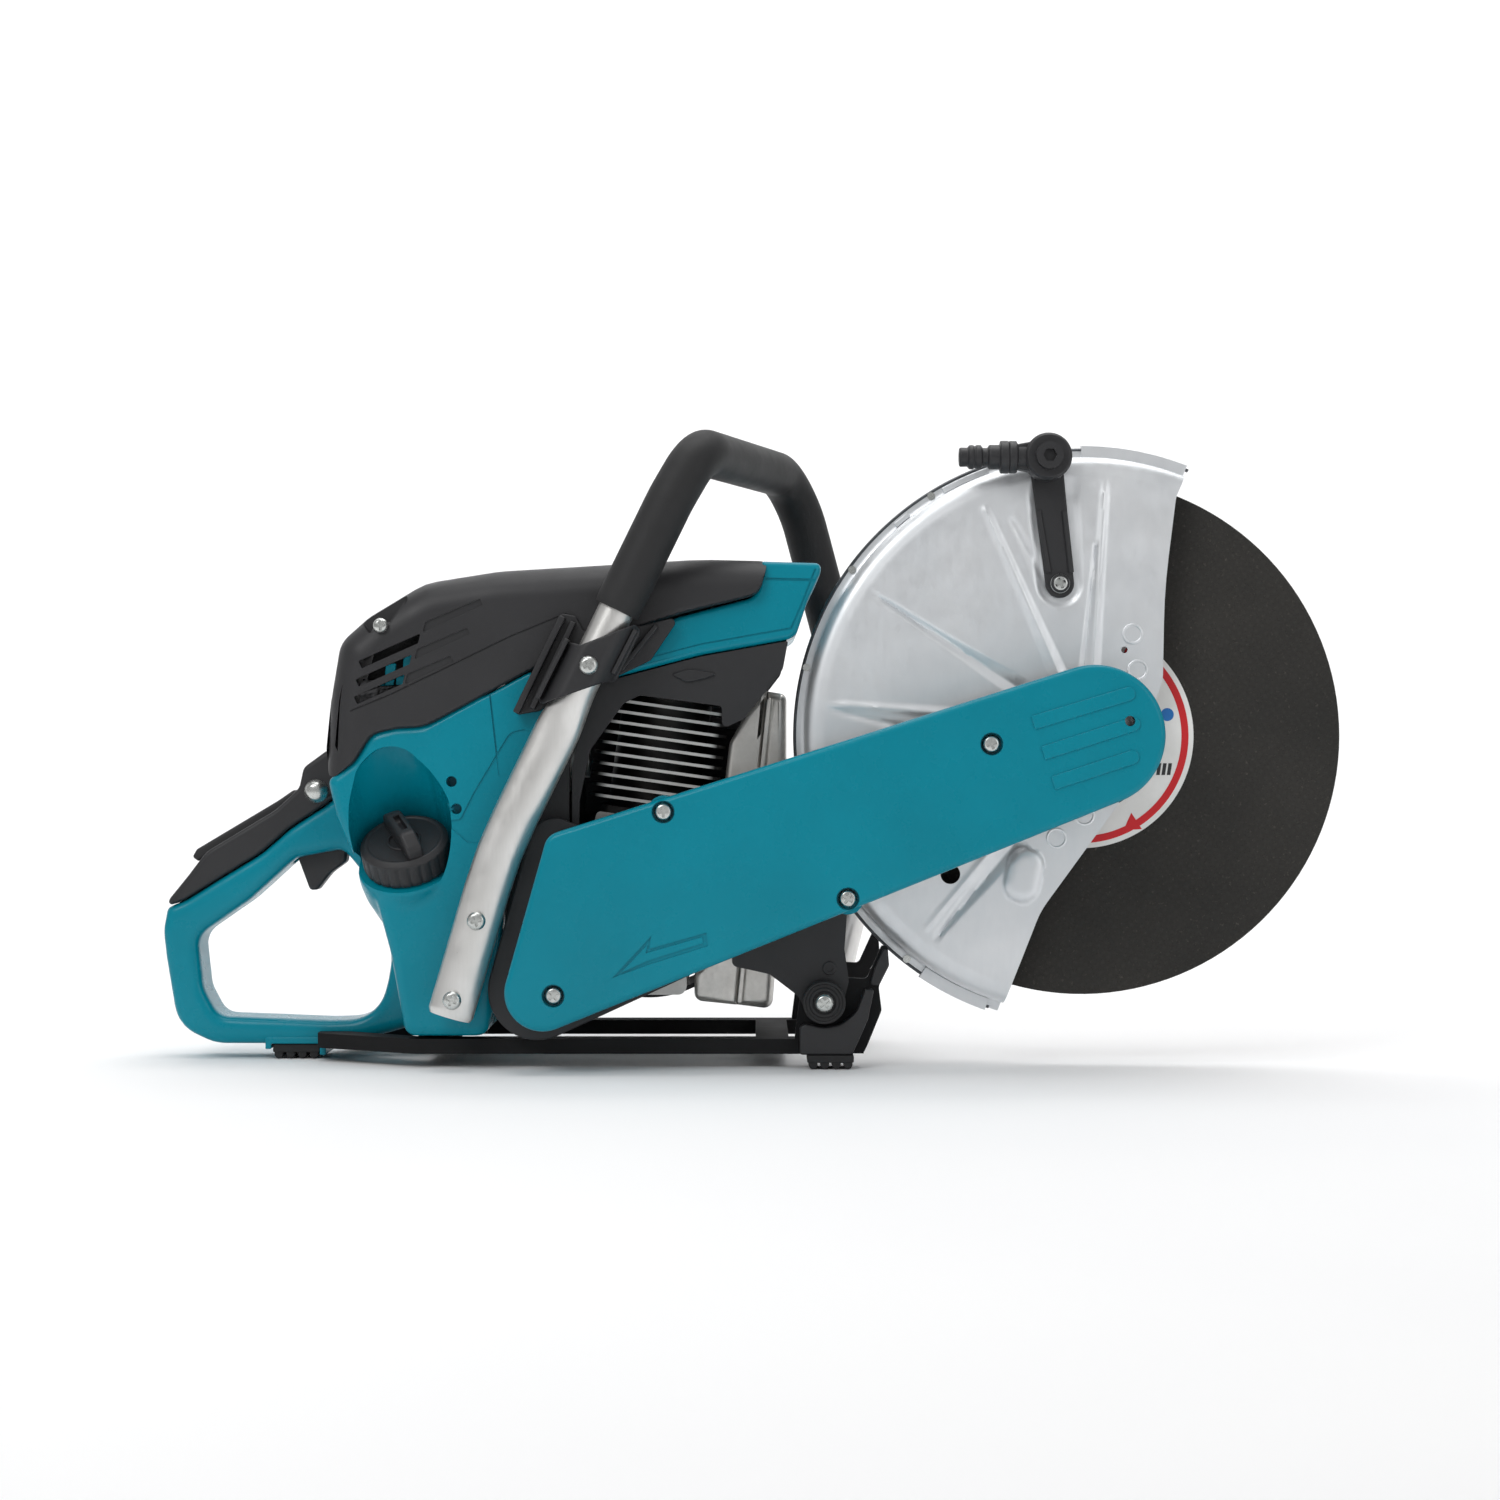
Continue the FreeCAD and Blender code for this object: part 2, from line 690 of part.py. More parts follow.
def make_crankcase():
    half, radius = D.case_half, D.case_radius
    for label, near, far in (("crankcase_near", -half, 0), ("crankcase_far", 0, half)):
        body = new_body(label)
        pad(body, near, far, (D.crank_x, D.crank_z, radius))
        block = corners((*up_bore(20, -40), 4), (*up_bore(20, 40), 4),
                        (*up_bore(CASE_TOP, 36), 3), (*up_bore(CASE_TOP, -36), 3))
        pad(body, near + 8 if near < 0 else near, far - 8 if far > 0 else far, block)
        feet = corners((-128, 46, 6), (-43, 46, 6), (-43, 78, 4), (-116, 78, 4))
        pad(body, near, far, feet)
        inner = -22 if near < 0 else 0
        pocket(body, inner, inner + 22, (D.crank_x, D.crank_z, 41))
        bore = corners(up_bore(10, -28), up_bore(10, 28), up_bore(CASE_TOP + 1, 28),
                       up_bore(CASE_TOP + 1, -28))
        pocket(body, inner, inner + 22, bore)
        pocket(body, near, far, (D.crank_x, D.crank_z, 12))
        seat = -38 if near < 0 else 22
        pocket(body, seat, seat + 16, (D.crank_x, D.crank_z, 17.5))
        if near < 0:
            bosses = ((-56.5, 158.5), (-112, 128), (-100, 74), (-38, 84))
            pad(body, D.arm_far_y, near, *[(x, z, 7) for x, z in bosses])


def make_crank():
    """Two half shafts with their webs; the crank pin between them stays with the rod."""
    web, shaft, gap = 38, float(D.crank_radius), 7
    near_end, far_end = float(D.belt_near_y) - 4, 78
    halves = []
    for side, end in ((-1, near_end), (1, far_end)):
        start = (D.crank_x, side * gap, D.crank_z)
        half = rod(start, (0, side, 0), web, 12)
        half = half.fuse(rod(start, (0, side, 0), 11, 18))
        halves.append(half.fuse(rod(start, (0, side, 0), shaft, abs(end) - gap)))
    plain("crankshaft", Part.makeCompound(halves))
    seals = []
    for near in (-45, 38):
        ring = rod((D.crank_x, near, D.crank_z), (0, 1, 0), 11.9, 7)
        seals.append(ring.cut(rod((D.crank_x, near, D.crank_z), (0, 1, 0), shaft + 0.3, 7)))
    plain("crankshaft_seals", Part.makeCompound(seals))
    near = D.belt_far_y + 4
    hub = rod((D.crank_x, near, D.crank_z), (0, 1, 0), 13, 9)
    clutch = [hub.cut(rod((D.crank_x, near, D.crank_z), (0, 1, 0), shaft, 9))]
    for turn in range(3):
        ring = rod((D.crank_x, near, D.crank_z), (0, 1, 0), 33.5, 8)
        ring = ring.cut(rod((D.crank_x, near, D.crank_z), (0, 1, 0), 13.3, 8))
        wedge = Part.makePolygon([
            Vector(0, 0, 0), Vector(70, 0, -105), Vector(70, 0, 105), Vector(0, 0, 0)])
        block = Part.Face(wedge).extrude(Vector(0, 30, 0))
        block.translate(Vector(2, 0, 0))
        block.rotate(Vector(), Vector(0, 1, 0), 120 * turn + 30)
        block.translate(Vector(D.crank_x, near - 5, D.crank_z))
        clutch.append(ring.common(block))
    plain("clutch", Part.makeCompound(clutch))


def make_piston():
    """The piston train, held at the top of its stroke."""
    tilt = lean()
    centre = Vector(D.crank_x, 0, D.crank_z)

    def place(shape):
        shape.Placement = Placement(centre, tilt)
        return shape

    radius = float(D.bore_size) - 0.1
    crown, skirt = PISTON_PIN + 20, PISTON_PIN - 12
    body = Part.makeCylinder(radius, crown - skirt, Vector(0, 0, skirt))
    body = body.cut(Part.makeCylinder(radius - 3, crown - skirt - 4, Vector(0, 0, skirt)))
    for groove in (crown - 5, crown - 9):
        ring = Part.makeCylinder(radius + 1, 1.6, Vector(0, 0, groove))
        body = body.cut(ring.cut(Part.makeCylinder(radius - 0.4, 1.6, Vector(0, 0, groove))))
    hole = Part.makeCylinder(5.05, 60, Vector(0, -30, PISTON_PIN), Vector(0, 1, 0))
    plain("piston", place(body.cut(hole)))
    pin = Part.makeCylinder(5, 40, Vector(0, -20, PISTON_PIN), Vector(0, 1, 0))
    throw = 16
    small = Part.makeCylinder(8.5, 10, Vector(0, -5, PISTON_PIN), Vector(0, 1, 0))
    large = Part.makeCylinder(14, 10, Vector(0, -5, throw), Vector(0, 1, 0))
    beam = Part.makeBox(11, 6, PISTON_PIN - throw, Vector(-5.5, -3, throw))
    rod_shape = beam.fuse(small).fuse(large)
    rod_shape = rod_shape.cut(Part.makeCylinder(5.05, 10, Vector(0, -5, PISTON_PIN), Vector(0, 1, 0)))
    rod_shape = rod_shape.cut(Part.makeCylinder(8.05, 10, Vector(0, -5, throw), Vector(0, 1, 0)))
    plain("connecting_rod", place(rod_shape))
    crank_pin = Part.makeCylinder(8, 13.4, Vector(0, -6.7, throw), Vector(0, 1, 0))
    plain("rod_pins", place(Part.makeCompound([pin, crank_pin])))


def make_cylinder():
    """The cylinder stands on the crankcase; its fins are closer at the front."""
    body = new_body("cylinder", (D.crank_x, 0, D.crank_z), lean())
    pad(body, CASE_TOP, CASE_TOP + 5, corners(
        (-34, -34, 6), (34, -34, 6), (34, 34, 6), (-34, 34, 6)), role="XY_Plane")
    pad(body, CASE_TOP, 136, (0, 0, 31), role="XY_Plane")
    fin = pad(body, 64, 66, corners(
        (-44, -42, 14), (44, -42, 14), (44, 42, 14), (-44, 42, 14)), role="XY_Plane")
    pattern = body.newObject("PartDesign::LinearPattern", "fins")
    pattern.Originals = [fin]
    axis = next(f for f in body.Origin.OriginFeatures if f.Role == "Z_Axis")
    pattern.Direction = (axis, [""])
    pattern.Mode = "Spacing"
    drive(pattern, "Offset", D.fin_pitch)
    drive(pattern, "Occurrences", D.fin_count)
    body.Tip = pattern
    pocket(body, CASE_TOP - 1, 118, (0, 0, D.bore_size), role="XY_Plane")
    pocket(body, 118, 150, (0, 0, 5), role="XY_Plane")
    plug_start = up_bore(139.4)
    base = Vector(plug_start[0], 0, plug_start[1])
    plug = Part.makeCylinder(9, 9, Vector())
    plug = plug.fuse(Part.makeCylinder(4.9, 16, Vector(0, 0, -16)))
    plug = plug.fuse(Part.makeCylinder(5, 12, Vector(0, 0, 9)))
    plug.Placement = Placement(base, lean())
    plain("spark_plug", plug)
    boot = Part.makeCylinder(8.5, 22, Vector(0, 0, 9.3))
    boot = boot.cut(Part.makeCylinder(5.1, 13, Vector(0, 0, 9.3)))
    boot = boot.fuse(Part.makeCylinder(4.8, 24, Vector(0, 0, 26.4), Vector(0, 1, 0)))
    boot.Placement = Placement(base, lean())
    plain("spark_plug_boot", boot)


MUFFLER_SEAM = ((-9, 38), (12, 252))


def make_muffler():
    """A tall silencer in front of the engine, two pressed shells with a seam."""
    (low_x, low_z), (high_x, high_z) = MUFFLER_SEAM
    near, far = -36, 40
    slab("muffler_rear_shell", near, far, corners(
        (low_x, low_z), (high_x, high_z), (9, 253, 3), (-3.4, 236, 8), (-14, 217, 8),
        (-16.5, 196, 8), (-21, 150, 10), (-23, 74, 8), (-38, 60, 6), (-38, 41, 6)))
    front = slab("muffler_front_shell", near, far, corners(
        (low_x + 0.05, low_z), (15, 35, 6), (17, 58, 10), (25, 110, 20), (25, 250, 5),
        (high_x + 0.05, high_z)))
    dress(front, "Fillet", 4, at_y(near, far))
    pad(front, near - 3, near + 6, (8, 84, 9))
    pocket(front, near - 3, near, (8, 84, 6))
    pad(front, near - 2, near + 5, [(low_x + 2.5, low_z + 3, 1.4), (high_x + 1.5, high_z - 6, 1.4)])


def make_flywheel():
    """The flywheel and its fan on the far end of the crankshaft."""
    body = new_body("flywheel", (D.crank_x, 0, D.crank_z))
    shaft = D.crank_radius
    revolve(body, ((shaft, 48), (16, 48), (16, 52), (46, 52), (46, 50), (56, 50, 1),
                   (56, 58, 1), (shaft, 58)))
    blade = pad(body, 58, 72, [(22, 3, 1.3), (52, -6, 1.3)])
    polar(body, blade, 14)


def make_starter():
    """The recoil starter in its vented cover on the far side."""
    x, z, radius = D.crank_x, D.crank_z, D.starter_radius
    near, far = 46, D.starter_far_y
    outline = [(x + 4, z - 2, radius), (x + 10, z + 60, 44), (x - 36, z + 62, 34), (x - 34, z, 54)]
    cover = slab("starter_cover", near, far, outline)
    dress(cover, "Fillet", 12, at_y(far))
    pocket(cover, near, far - 3, inset(outline, 3))
    slots = []
    for degrees in range(0, 360, 20):
        angle = math.radians(degrees)
        inner = (x + 34 * math.cos(angle), z + 34 * math.sin(angle), 2.2)
        outer = (x + 58 * math.cos(angle + 0.18), z + 58 * math.sin(angle + 0.18), 3.2)
        slots.append([inner, outer])
    pocket(cover, far - 3, far, *slots)
    pad(cover, 82, far - 2, (x, z, 5.5))
    rope_x, rope_y = x + 33, 96
    hole = rod((rope_x, rope_y, z + 80), (0, 0, 1), 3, 30)
    pieces.remove(cover)
    cover.Label = "starter_moulding"
    doc.recompute()
    plain("starter_cover", cover.Shape.cut(hole))
    turned("starter_pulley", x, z, (5.6, 84), (12, 84), (12, 92), (36, 92, 0.6), (36, 93.5),
           (30, 93.5), (30, 98.5), (36, 98.5), (36, 100, 0.6), (5.6, 100))
    turned("recoil_spring", x, z, (9, 103), (30, 103), (30, 110), (9, 110))
    top = float(z) + 105
    grip = Part.makeCylinder(8, 52, Vector(rope_x - 26, rope_y, top + 9), Vector(1, 0, 0))
    grip = grip.makeFillet(4, [edge for edge in grip.Edges if edge.BoundBox.XLength < 0.01])
    grip = grip.fuse(Part.makeCone(4, 6.5, 12, Vector(rope_x, rope_y, top - 4), Vector(0, 0, 1)))
    grip = grip.fuse(Part.makeCylinder(2, 122, Vector(rope_x, rope_y, top + 2), Vector(0, 0, -1)))
    plain("starter_grip", grip)
    coil = Part.makeBox(30, 16, 20, Vector(x + 8, 50, z + 62))
    plain("ignition_coil", coil.fuse(Part.makeBox(8, 8, 10, Vector(x + 19, 54, z + 57.5))))


# ---------------------------------------------------------------- housings
def housing_outline():
    """Fuel tank and rear body from the side."""
    return corners(
        (-281, 189, 6), (-262, 203, 10), (-250, 221, 12), (-218, 225, 14), (-173, 251, 5),
        (-166, 195, 30), (-166, 60, 30), (-176, 21, 8), (-230, 21, 8), (-247, 60, 30),
        (-262, 118, 30), (-282, 146, 10),
    )


def grip_outline():
    """The lower shell of the rear handle, from its split line round the loop."""
    return corners(
        (-401, 103.6, 3), (-404, 88, 25), (-402, 70, 40), (-392, 26.4, 16), (-368, 10, 12),
        (-300, 10, 10), (-262, 14, 8), (-232, 22, 8), (-232, 60, 8), (-250, 140, 6),
        (-276, 186, 3), (-295, 172, 30), (-316, 158.5, 30), (-336, 141, 40), (-364, 124, 60),
        (-388, 109, 20),
    )


def grip_opening():
    """The finger opening of the rear handle."""
    return corners(
        (-380, 84, 14), (-376, 48, 14), (-366, 29, 12), (-285, 26.4, 20), (-247, 34, 14),
        (-248, 72, 20), (-262, 118, 20), (-278, 142, 10), (-312, 138, 12), (-344, 109, 40),
    )


CAP_AXIS = Vector(-0.1, -0.57, 0.82).normalize()


def side_panel():
    """The near wall of the tank, which runs on under the front handle."""
    return corners(
        (-218, 224, 4), (-148, 262.5, 4), (-132, 262, 3), (-128, 250, 6), (-145, 200, 20),
        (-163, 150, 20), (-166, 60, 10), (-180, 60, 4), (-190, 150, 4))


def tank_void():
    return corners((-268, 178, 8), (-232, 206, 10), (-182, 232, 8), (-176, 60, 8),
                   (-186, 32, 8), (-222, 32, 8), (-238, 64, 10), (-252, 120, 10))


def make_tank():
    """The tank with the rear handle loop, one moulding."""
    near, far, half = D.body_near_y, D.body_far_y, D.handle_half
    block = slab("tank_block", near, far, housing_outline())
    dress(block, "Fillet", D.housing_round, at_y(near, far))
    pad(block, near + 1, near + 9, side_panel())
    pocket(block, -20, 72, tank_void())
    grip = slab("tank_grip", -half, half, grip_outline())
    dress(grip, "Fillet", 2.5, at_y(-half, half))
    pocket(grip, -half, half, grip_opening())
    dress(grip, "Fillet", 6, at_y_in_opening(half))
    doc.recompute()
    seat = Vector(D.cap_x, D.cap_y, D.cap_z)
    scoop = Part.makeCylinder(34.5, 110, seat, CAP_AXIS)
    collar = Part.makeCylinder(34.5, 34, seat - CAP_AXIS * 33, CAP_AXIS)
    bore = Part.makeCylinder(16, 60, seat - CAP_AXIS * 45, CAP_AXIS)
    neck = Part.makeCylinder(20, 8, seat, CAP_AXIS).cut(Part.makeCylinder(16, 8, seat, CAP_AXIS))
    slot = Part.makeBox(46, 22, 44, Vector(-318, -11, 128))
    for body in (block, grip):
        pieces.remove(body)
    moulding = block.Shape.fuse(grip.Shape).fuse(collar)
    whole = moulding.cut(slot).cut(scoop).cut(bore).fuse(neck)
    plain("tank_housing", whole)


def at_y_in_opening(half):
    """Picks the edges of the finger opening on both faces of the handle."""
    flat = at_y(-half, half)

    def wanted(edge):
        box = edge.BoundBox
        return flat(edge) and box.XMin > -381 and box.XMax < -246 and box.ZMin > 26 and box.ZMax < 143

    return wanted


def make_cap():
    seat = Vector(D.cap_x, D.cap_y, D.cap_z)
    face = Placement(seat, Rotation(Vector(0, 0, 1), CAP_AXIS))
    radius = float(D.cap_radius)
    body = Part.makeCylinder(radius, 20, Vector(0, 0, 1.2))
    body = body.cut(Part.makeCylinder(20.3, 9, Vector(0, 0, 1.2)))
    rim = [edge for edge in body.Edges if edge.Closed and abs(edge.BoundBox.ZMin - 21.2) < 0.01]
    body = body.makeFillet(3, rim)
    flutes = []
    for turn in range(24):
        angle = math.radians(15 * turn)
        spot = Vector((radius + 1) * math.cos(angle), (radius + 1) * math.sin(angle), 1.2)
        flutes.append(Part.makeCylinder(2, 14, spot))
    body = body.cut(Part.makeCompound(flutes))
    bar = Part.makeBox(2 * radius - 12, 9, 7, Vector(-radius + 6, -4.5, 21))
    bar = bar.makeFillet(2, [edge for edge in bar.Edges if edge.BoundBox.ZMin > 27])
    body = body.fuse(bar)
    body.Placement = face
    plain("fuel_cap", body)


LOCK_PIVOT = (-313, 178)
TRIGGER_PIVOT = (-283, 150)


def make_handle_cover():
    """The black top of the rear handle, with the lock lever and the trigger in it."""
    half = D.handle_half
    top = corners(
        (-401, 104.2, 2), (-388, 109.6, 20), (-364, 124.6, 60), (-336, 141.6, 40),
        (-316, 159.1, 30), (-295, 172.6, 30), (-283, 181.6, 1), (-283.4, 192, 4), (-287, 212, 4),
        (-292, 211, 3), (-307, 200, 8), (-310, 186, 8), (-326, 171, 30), (-374, 142, 20),
        (-386, 126, 12), (-399, 110, 4),
    )
    body = slab("handle_cover", -half, half, top)
    dress(body, "Fillet", 2, at_y(-half, half))
    pocket(body, -8.6, 8.6, corners(
        (-395, 150), (-379, 127.6), (-322, 162), (-306, 178), (-312, 205), (-395, 172)))
    pocket(body, -11, 11, corners((-318, 128), (-272, 128), (-272, 168), (-318, 168)))
    lever = slab("throttle_lock", -8, 8, corners(
        (-382, 135, 2), (-386, 138, 2), (-383, 143.3, 3), (-326.6, 177, 30), (-315, 185, 4),
        (-309.5, 182, 3), (-313, 174, 3), (-326, 166.5, 20), (-372, 139.5, 10)))
    dress(lever, "Fillet", 1.5, at_y(-8, 8))
    pad(lever, -8.45, 8.45, (*LOCK_PIVOT, 1.5))
    trigger = slab("throttle_trigger", -8.5, 8.5, corners(
        (-314, 140, 3), (-311, 132.5, 8), (-304.5, 115, 3), (-299, 115.3, 3), (-290, 127, 20),
        (-279.5, 134.6, 4), (-278.5, 143, 6), (-281, 156, 5), (-304, 153.3, 5)))
    dress(trigger, "Fillet", 1.5, at_y(-8.5, 8.5))
    pad(trigger, -10.7, 10.7, (*TRIGGER_PIVOT, 3))


def top_cover_outline():
    return corners(
        (-284, 212, 4), (-281.4, 245, 60), (-275, 284, 20), (-256, 301, 25), (-218, 324, 40),
        (-168, 332, 80), (-34, 340, 200), (12, 338.6, 4), (6.7, 316, 12), (-46, 303, 10),
        (-100, 285, 60), (-146.5, 265, 60), (-216.5, 227.5, 30), (-237, 226, 20),
        (-252, 222.5, 12), (-264, 203.5, 10), (-282, 190.5, 4),
    )


def make_top_cover():
    near, far = D.body_near_y - 2, D.body_far_y + 2
    outline = top_cover_outline()
    body = slab("air_filter_cover", near, far, outline)
    dress(body, "Fillet", 8, at_y(near, far))
    void = corners(
        (-277, 215, 4), (-274, 246, 40), (-268, 281, 14), (-252, 295, 20), (-216, 317, 30),
        (-168, 326, 60), (-34, 334, 100), (0, 333, 3), (0, 318, 3), (-48, 308, 5),
        (-100, 290, 40), (-140, 262), (-200, 200), (-262, 180), (-272, 205))
    pocket(body, near + 4, far - 4, void)
    slots = []
    for x0, z0, x1, z1 in VENT_SLOTS:
        slots.append([(x0, z0, 2.4), (x1, z1, 2.4)])
    pocket(body, near, near + 4, *slots)
    pocket(body, far - 4, far, *slots)


VENT_SLOTS = ((-259, 270, -220, 287), (-260, 257, -226, 272), (-261, 245, -236, 256))


def make_hood():
    """The teal cowl over the cylinder."""
    near, far = D.body_near_y + 6, D.body_far_y - 4
    outline = corners(
        (13, 338.6, 3), (48, 337, 4), (47, 330, 6), (38.6, 312, 30), (31, 289, 8), (26, 286, 6),
        (-33, 275.5, 40), (-98, 258.6, 3), (-99, 282, 3), (-48, 301, 10), (7, 314.5, 10))
    body = slab("cylinder_hood", near, far, outline)
    dress(body, "Fillet", 4, at_y(near, far))
    pocket(body, near + 3.5, far - 3.5, corners(
        (18, 333), (43, 332, 3), (34, 308, 20), (26, 291, 5), (20, 270), (-34, 262), (-96, 250),
        (-94, 280, 3), (-47, 297, 8), (11, 310, 6)))
    pocket(body, far - 3.5, far, (22, 318, 7.2))


def make_shroud():
    """The black air guide between the hood and the cylinder."""
    near, far = D.body_near_y + 8, D.body_far_y - 6
    body = slab("cylinder_shroud", near, near + 5, corners(
        (-97, 257.6, 2), (-33, 274.5, 40), (25.5, 285, 2), (22, 266, 8), (12, 253, 8),
        (-4, 233, 8), (-18.7, 226, 3), (-18.7, 241.4, 3), (-74, 248.7, 6), (-85, 243, 6),
        (-107, 212, 10), (-114, 178, 10), (-115, 152, 1), (-119, 152, 1), (-119, 200, 20),
        (-108.6, 256, 2)))
    pad(body, far - 5, far, corners(
        (-97, 257.6, 2), (-33, 274.5, 40), (25.5, 285, 2), (22, 266, 8), (12, 253, 8),
        (8, 217.5, 4), (-112, 217.5, 2), (-108.6, 256, 2)))
    pad(body, near, far, corners(
        (-88, 259.8, 1), (-33, 274.5, 40), (25.5, 285, 1), (25, 281.5, 1), (-33, 271, 40),
        (-87, 256.6, 1)))
    pocket(body, -16, 32, corners((-76, 250), (-34, 250), (-34, 290), (-76, 290)))


def make_carburettor():
    plain("carburettor", carburettor_shape())
    near, far = D.body_near_y + 10, D.body_far_y - 10
    box = slab("carburettor_box", near, far, corners(
        (-268, 236, 3), (-205, 240, 10), (-150, 270, 10), (-112, 286, 2), (-113, 289, 2),
        (-151, 273.5, 8), (-206, 243.5, 8), (-268, 239.5, 3)))
    pad(box, near, near + 4, corners(
        (-164, 262, 2), (-164, 52, 6), (-150, 52, 10), (-121, 150, 10), (-121, 200, 20),
        (-110, 257, 4), (-120, 276, 2)))
    pad(box, far - 4, far, corners(
        (-164, 258, 2), (-164, 222, 6), (-116, 222, 6), (-112, 254, 3), (-120, 276, 2)))
    slab("air_filter", D.body_near_y + 16, D.body_far_y - 16, corners(
        (-262, 243, 3), (-208, 246, 8), (-152, 277, 8), (-118, 291.5, 3), (-120, 314, 4),
        (-205, 306, 8), (-250, 285, 6)))


def carburettor_shape():
    block = Part.makeBox(36, 44, 46, Vector(-160, -22, 183))
    block = block.makeFillet(4, [edge for edge in block.Edges if edge.BoundBox.XLength > 30])
    bowl = Part.makeCylinder(16, 12, Vector(-142, 0, 171))
    tips = Part.makeCompound([
        Part.makeCylinder(2.4, 42, Vector(-150, -64, 192), Vector(0, 1, 0)),
        Part.makeCylinder(2.4, 42, Vector(-150, -64, 200), Vector(0, 1, 0))])
    boot = Part.makeCylinder(13, 15, Vector(-126, 0, 206), Vector(1, 0, 0))
    return block.fuse(bowl).fuse(tips).fuse(boot)


# ---------------------------------------------------------------- handles and base
def handle_points():
    near, far = D.near_leg_y, D.far_leg_y
    return (
        (-198, near, 36), (-166, near, 145), (-52, near, 378), (-34, near + 8, 410),
        (24, far - 10, 412), (38, far, 384), (76, far, 240), (80, far, 120), (62, far, 46),
    )


def make_front_handle():
    radii = (300, 60, 26, 30, 60, 150, 60)
    edges = rounded_path(handle_points(), radii)
    plain("front_handle_tube", pipe(edges, D.tube_radius))
    sleeve = edges[3:9]
    grip = pipe(sleeve, D.grip_radius).cut(pipe(sleeve, D.tube_radius + 0.02))
    plain("front_handle_grip", grip)


def make_saddle():
    """The stirrup that holds the near leg to the engine housings."""
    near, far = D.near_leg_y + D.tube_radius + 0.3, D.body_near_y - 2.2
    body = slab("handle_saddle", near, far, corners(
        (-158.6, 234.5, 3), (-125.5, 303, 3), (-115.6, 301, 3), (-110, 290, 4), (-72.7, 294.6, 4),
        (-46, 301, 3), (-66, 271.5, 4), (-96, 257, 6), (-125.5, 251.6, 6), (-139, 238, 4)))
    strap = D.near_leg_y - D.tube_radius - 0.3
    left = corners((-138, 247, 1.5), (-121, 282, 1.5), (-117.5, 280.5, 1.5), (-134.5, 245.5, 1.5))
    right = corners((-89.5, 265, 1.5), (-77, 289.5, 1.5), (-73.5, 288, 1.5), (-85.5, 264.5, 1.5))
    for wall in (left, right):
        pad(body, strap - 1, near + 1, wall)
    pad(body, strap - 2.8, strap, corners(
        (-142, 241, 3), (-123, 286, 3), (-111, 282, 2), (-75, 294.5, 2), (-71, 290, 2),
        (-87, 257, 3), (-96, 256, 3)))


FRONT_MOUNT = (49.2, 44.6)
FAR_MOUNT = (62, 46)


def cheek_outline():
    """Front end of the base frame, with the prong ahead of its mount."""
    return corners(
        (31, 9.5, 2), (76, 9.5, 3), (79, 16, 5), (88, 38, 6), (86, 54, 6), (93, 68, 3), (92, 81, 1.5),
        (88, 81, 1), (78, 59, 4), (60, 60, 8), (34, 52, 8), (30, 20, 4))


def make_base():
    low, high = D.rail_low_z, D.rail_high_z
    frame = new_body("base_frame")
    for side in (-1, 1):
        rail = corners((34, 75 * side, 2), (-225, 75 * side, 20), (-295, 36 * side, 4),
                       (-295, 23 * side, 2), (-275, 23 * side, 3), (-222, 57 * side, 12),
                       (34, 57 * side, 2))
        pad(frame, low, high, rail, role="XY_Plane")
        if side < 0:
            pad(frame, low, high, corners((-224, -60), (-204, -60), (-204, 60), (-224, 60)),
                role="XY_Plane")
            pad(frame, low, high, corners((4, -60), (26, -60), (26, 60), (4, 60)),
                role="XY_Plane")
    pad(frame, -73.8, -67, cheek_outline())
    pad(frame, 66, 72, cheek_outline())
    pad(frame, -73.8, -58, corners((20, 9.2), (76, 9.2), (76, 14), (20, 14)))
    pad(frame, 58, 72, corners((20, 9.2), (76, 9.2), (76, 14), (20, 14)))
    bracket = slab("front_bracket", -77.8, -74.1, corners(
        (-12, 90, 4), (66, 122, 4), (63, 79, 8), (66, 58, 6), (60, 34, 12), (40, 33, 12),
        (32, 48, 6), (13, 62.5, 8), (-12, 68, 4)))
    x, z = FRONT_MOUNT
    pocket(bracket, -77.8, -74.1, (x, z, 3.1))
    mounts = []
    for mount_x, mount_z, near, far in (
        (x, z, -92, -78.0), (*FAR_MOUNT, 72.2, float(D.far_leg_y) - 13.2),
    ):
        rubber = rod((mount_x, near, mount_z), (0, 1, 0), 14.3, far - near)
        waist = rod((mount_x, near + 3, mount_z), (0, 1, 0), 15, far - near - 6)
        waist = waist.cut(rod((mount_x, near + 3, mount_z), (0, 1, 0), 12.5, far - near - 6))
        rubber = rubber.cut(waist)
        mounts.append(rubber.cut(rod((mount_x, near, mount_z), (0, 1, 0), 3.1, far - near)))
    plain("vibration_mounts", Part.makeCompound(mounts))
    feet = []
    for x0, x1, y0, y1, top in (
        (-328, -296, -20, 20, 9.9), (38, 69, -86, -58, 9.1), (38, 69, 58, 86, 9.1),
    ):
        foot = Part.makeBox(x1 - x0, y1 - y0, top, Vector(x0, y0, 0))
        for step in range(4):
            groove = Part.makeBox(3, y1 - y0, 3, Vector(x0 + 3 + 8 * step, y0, 0))
            foot = foot.cut(groove)
        feet.append(foot)
    plain("rubber_feet", Part.makeCompound(feet))


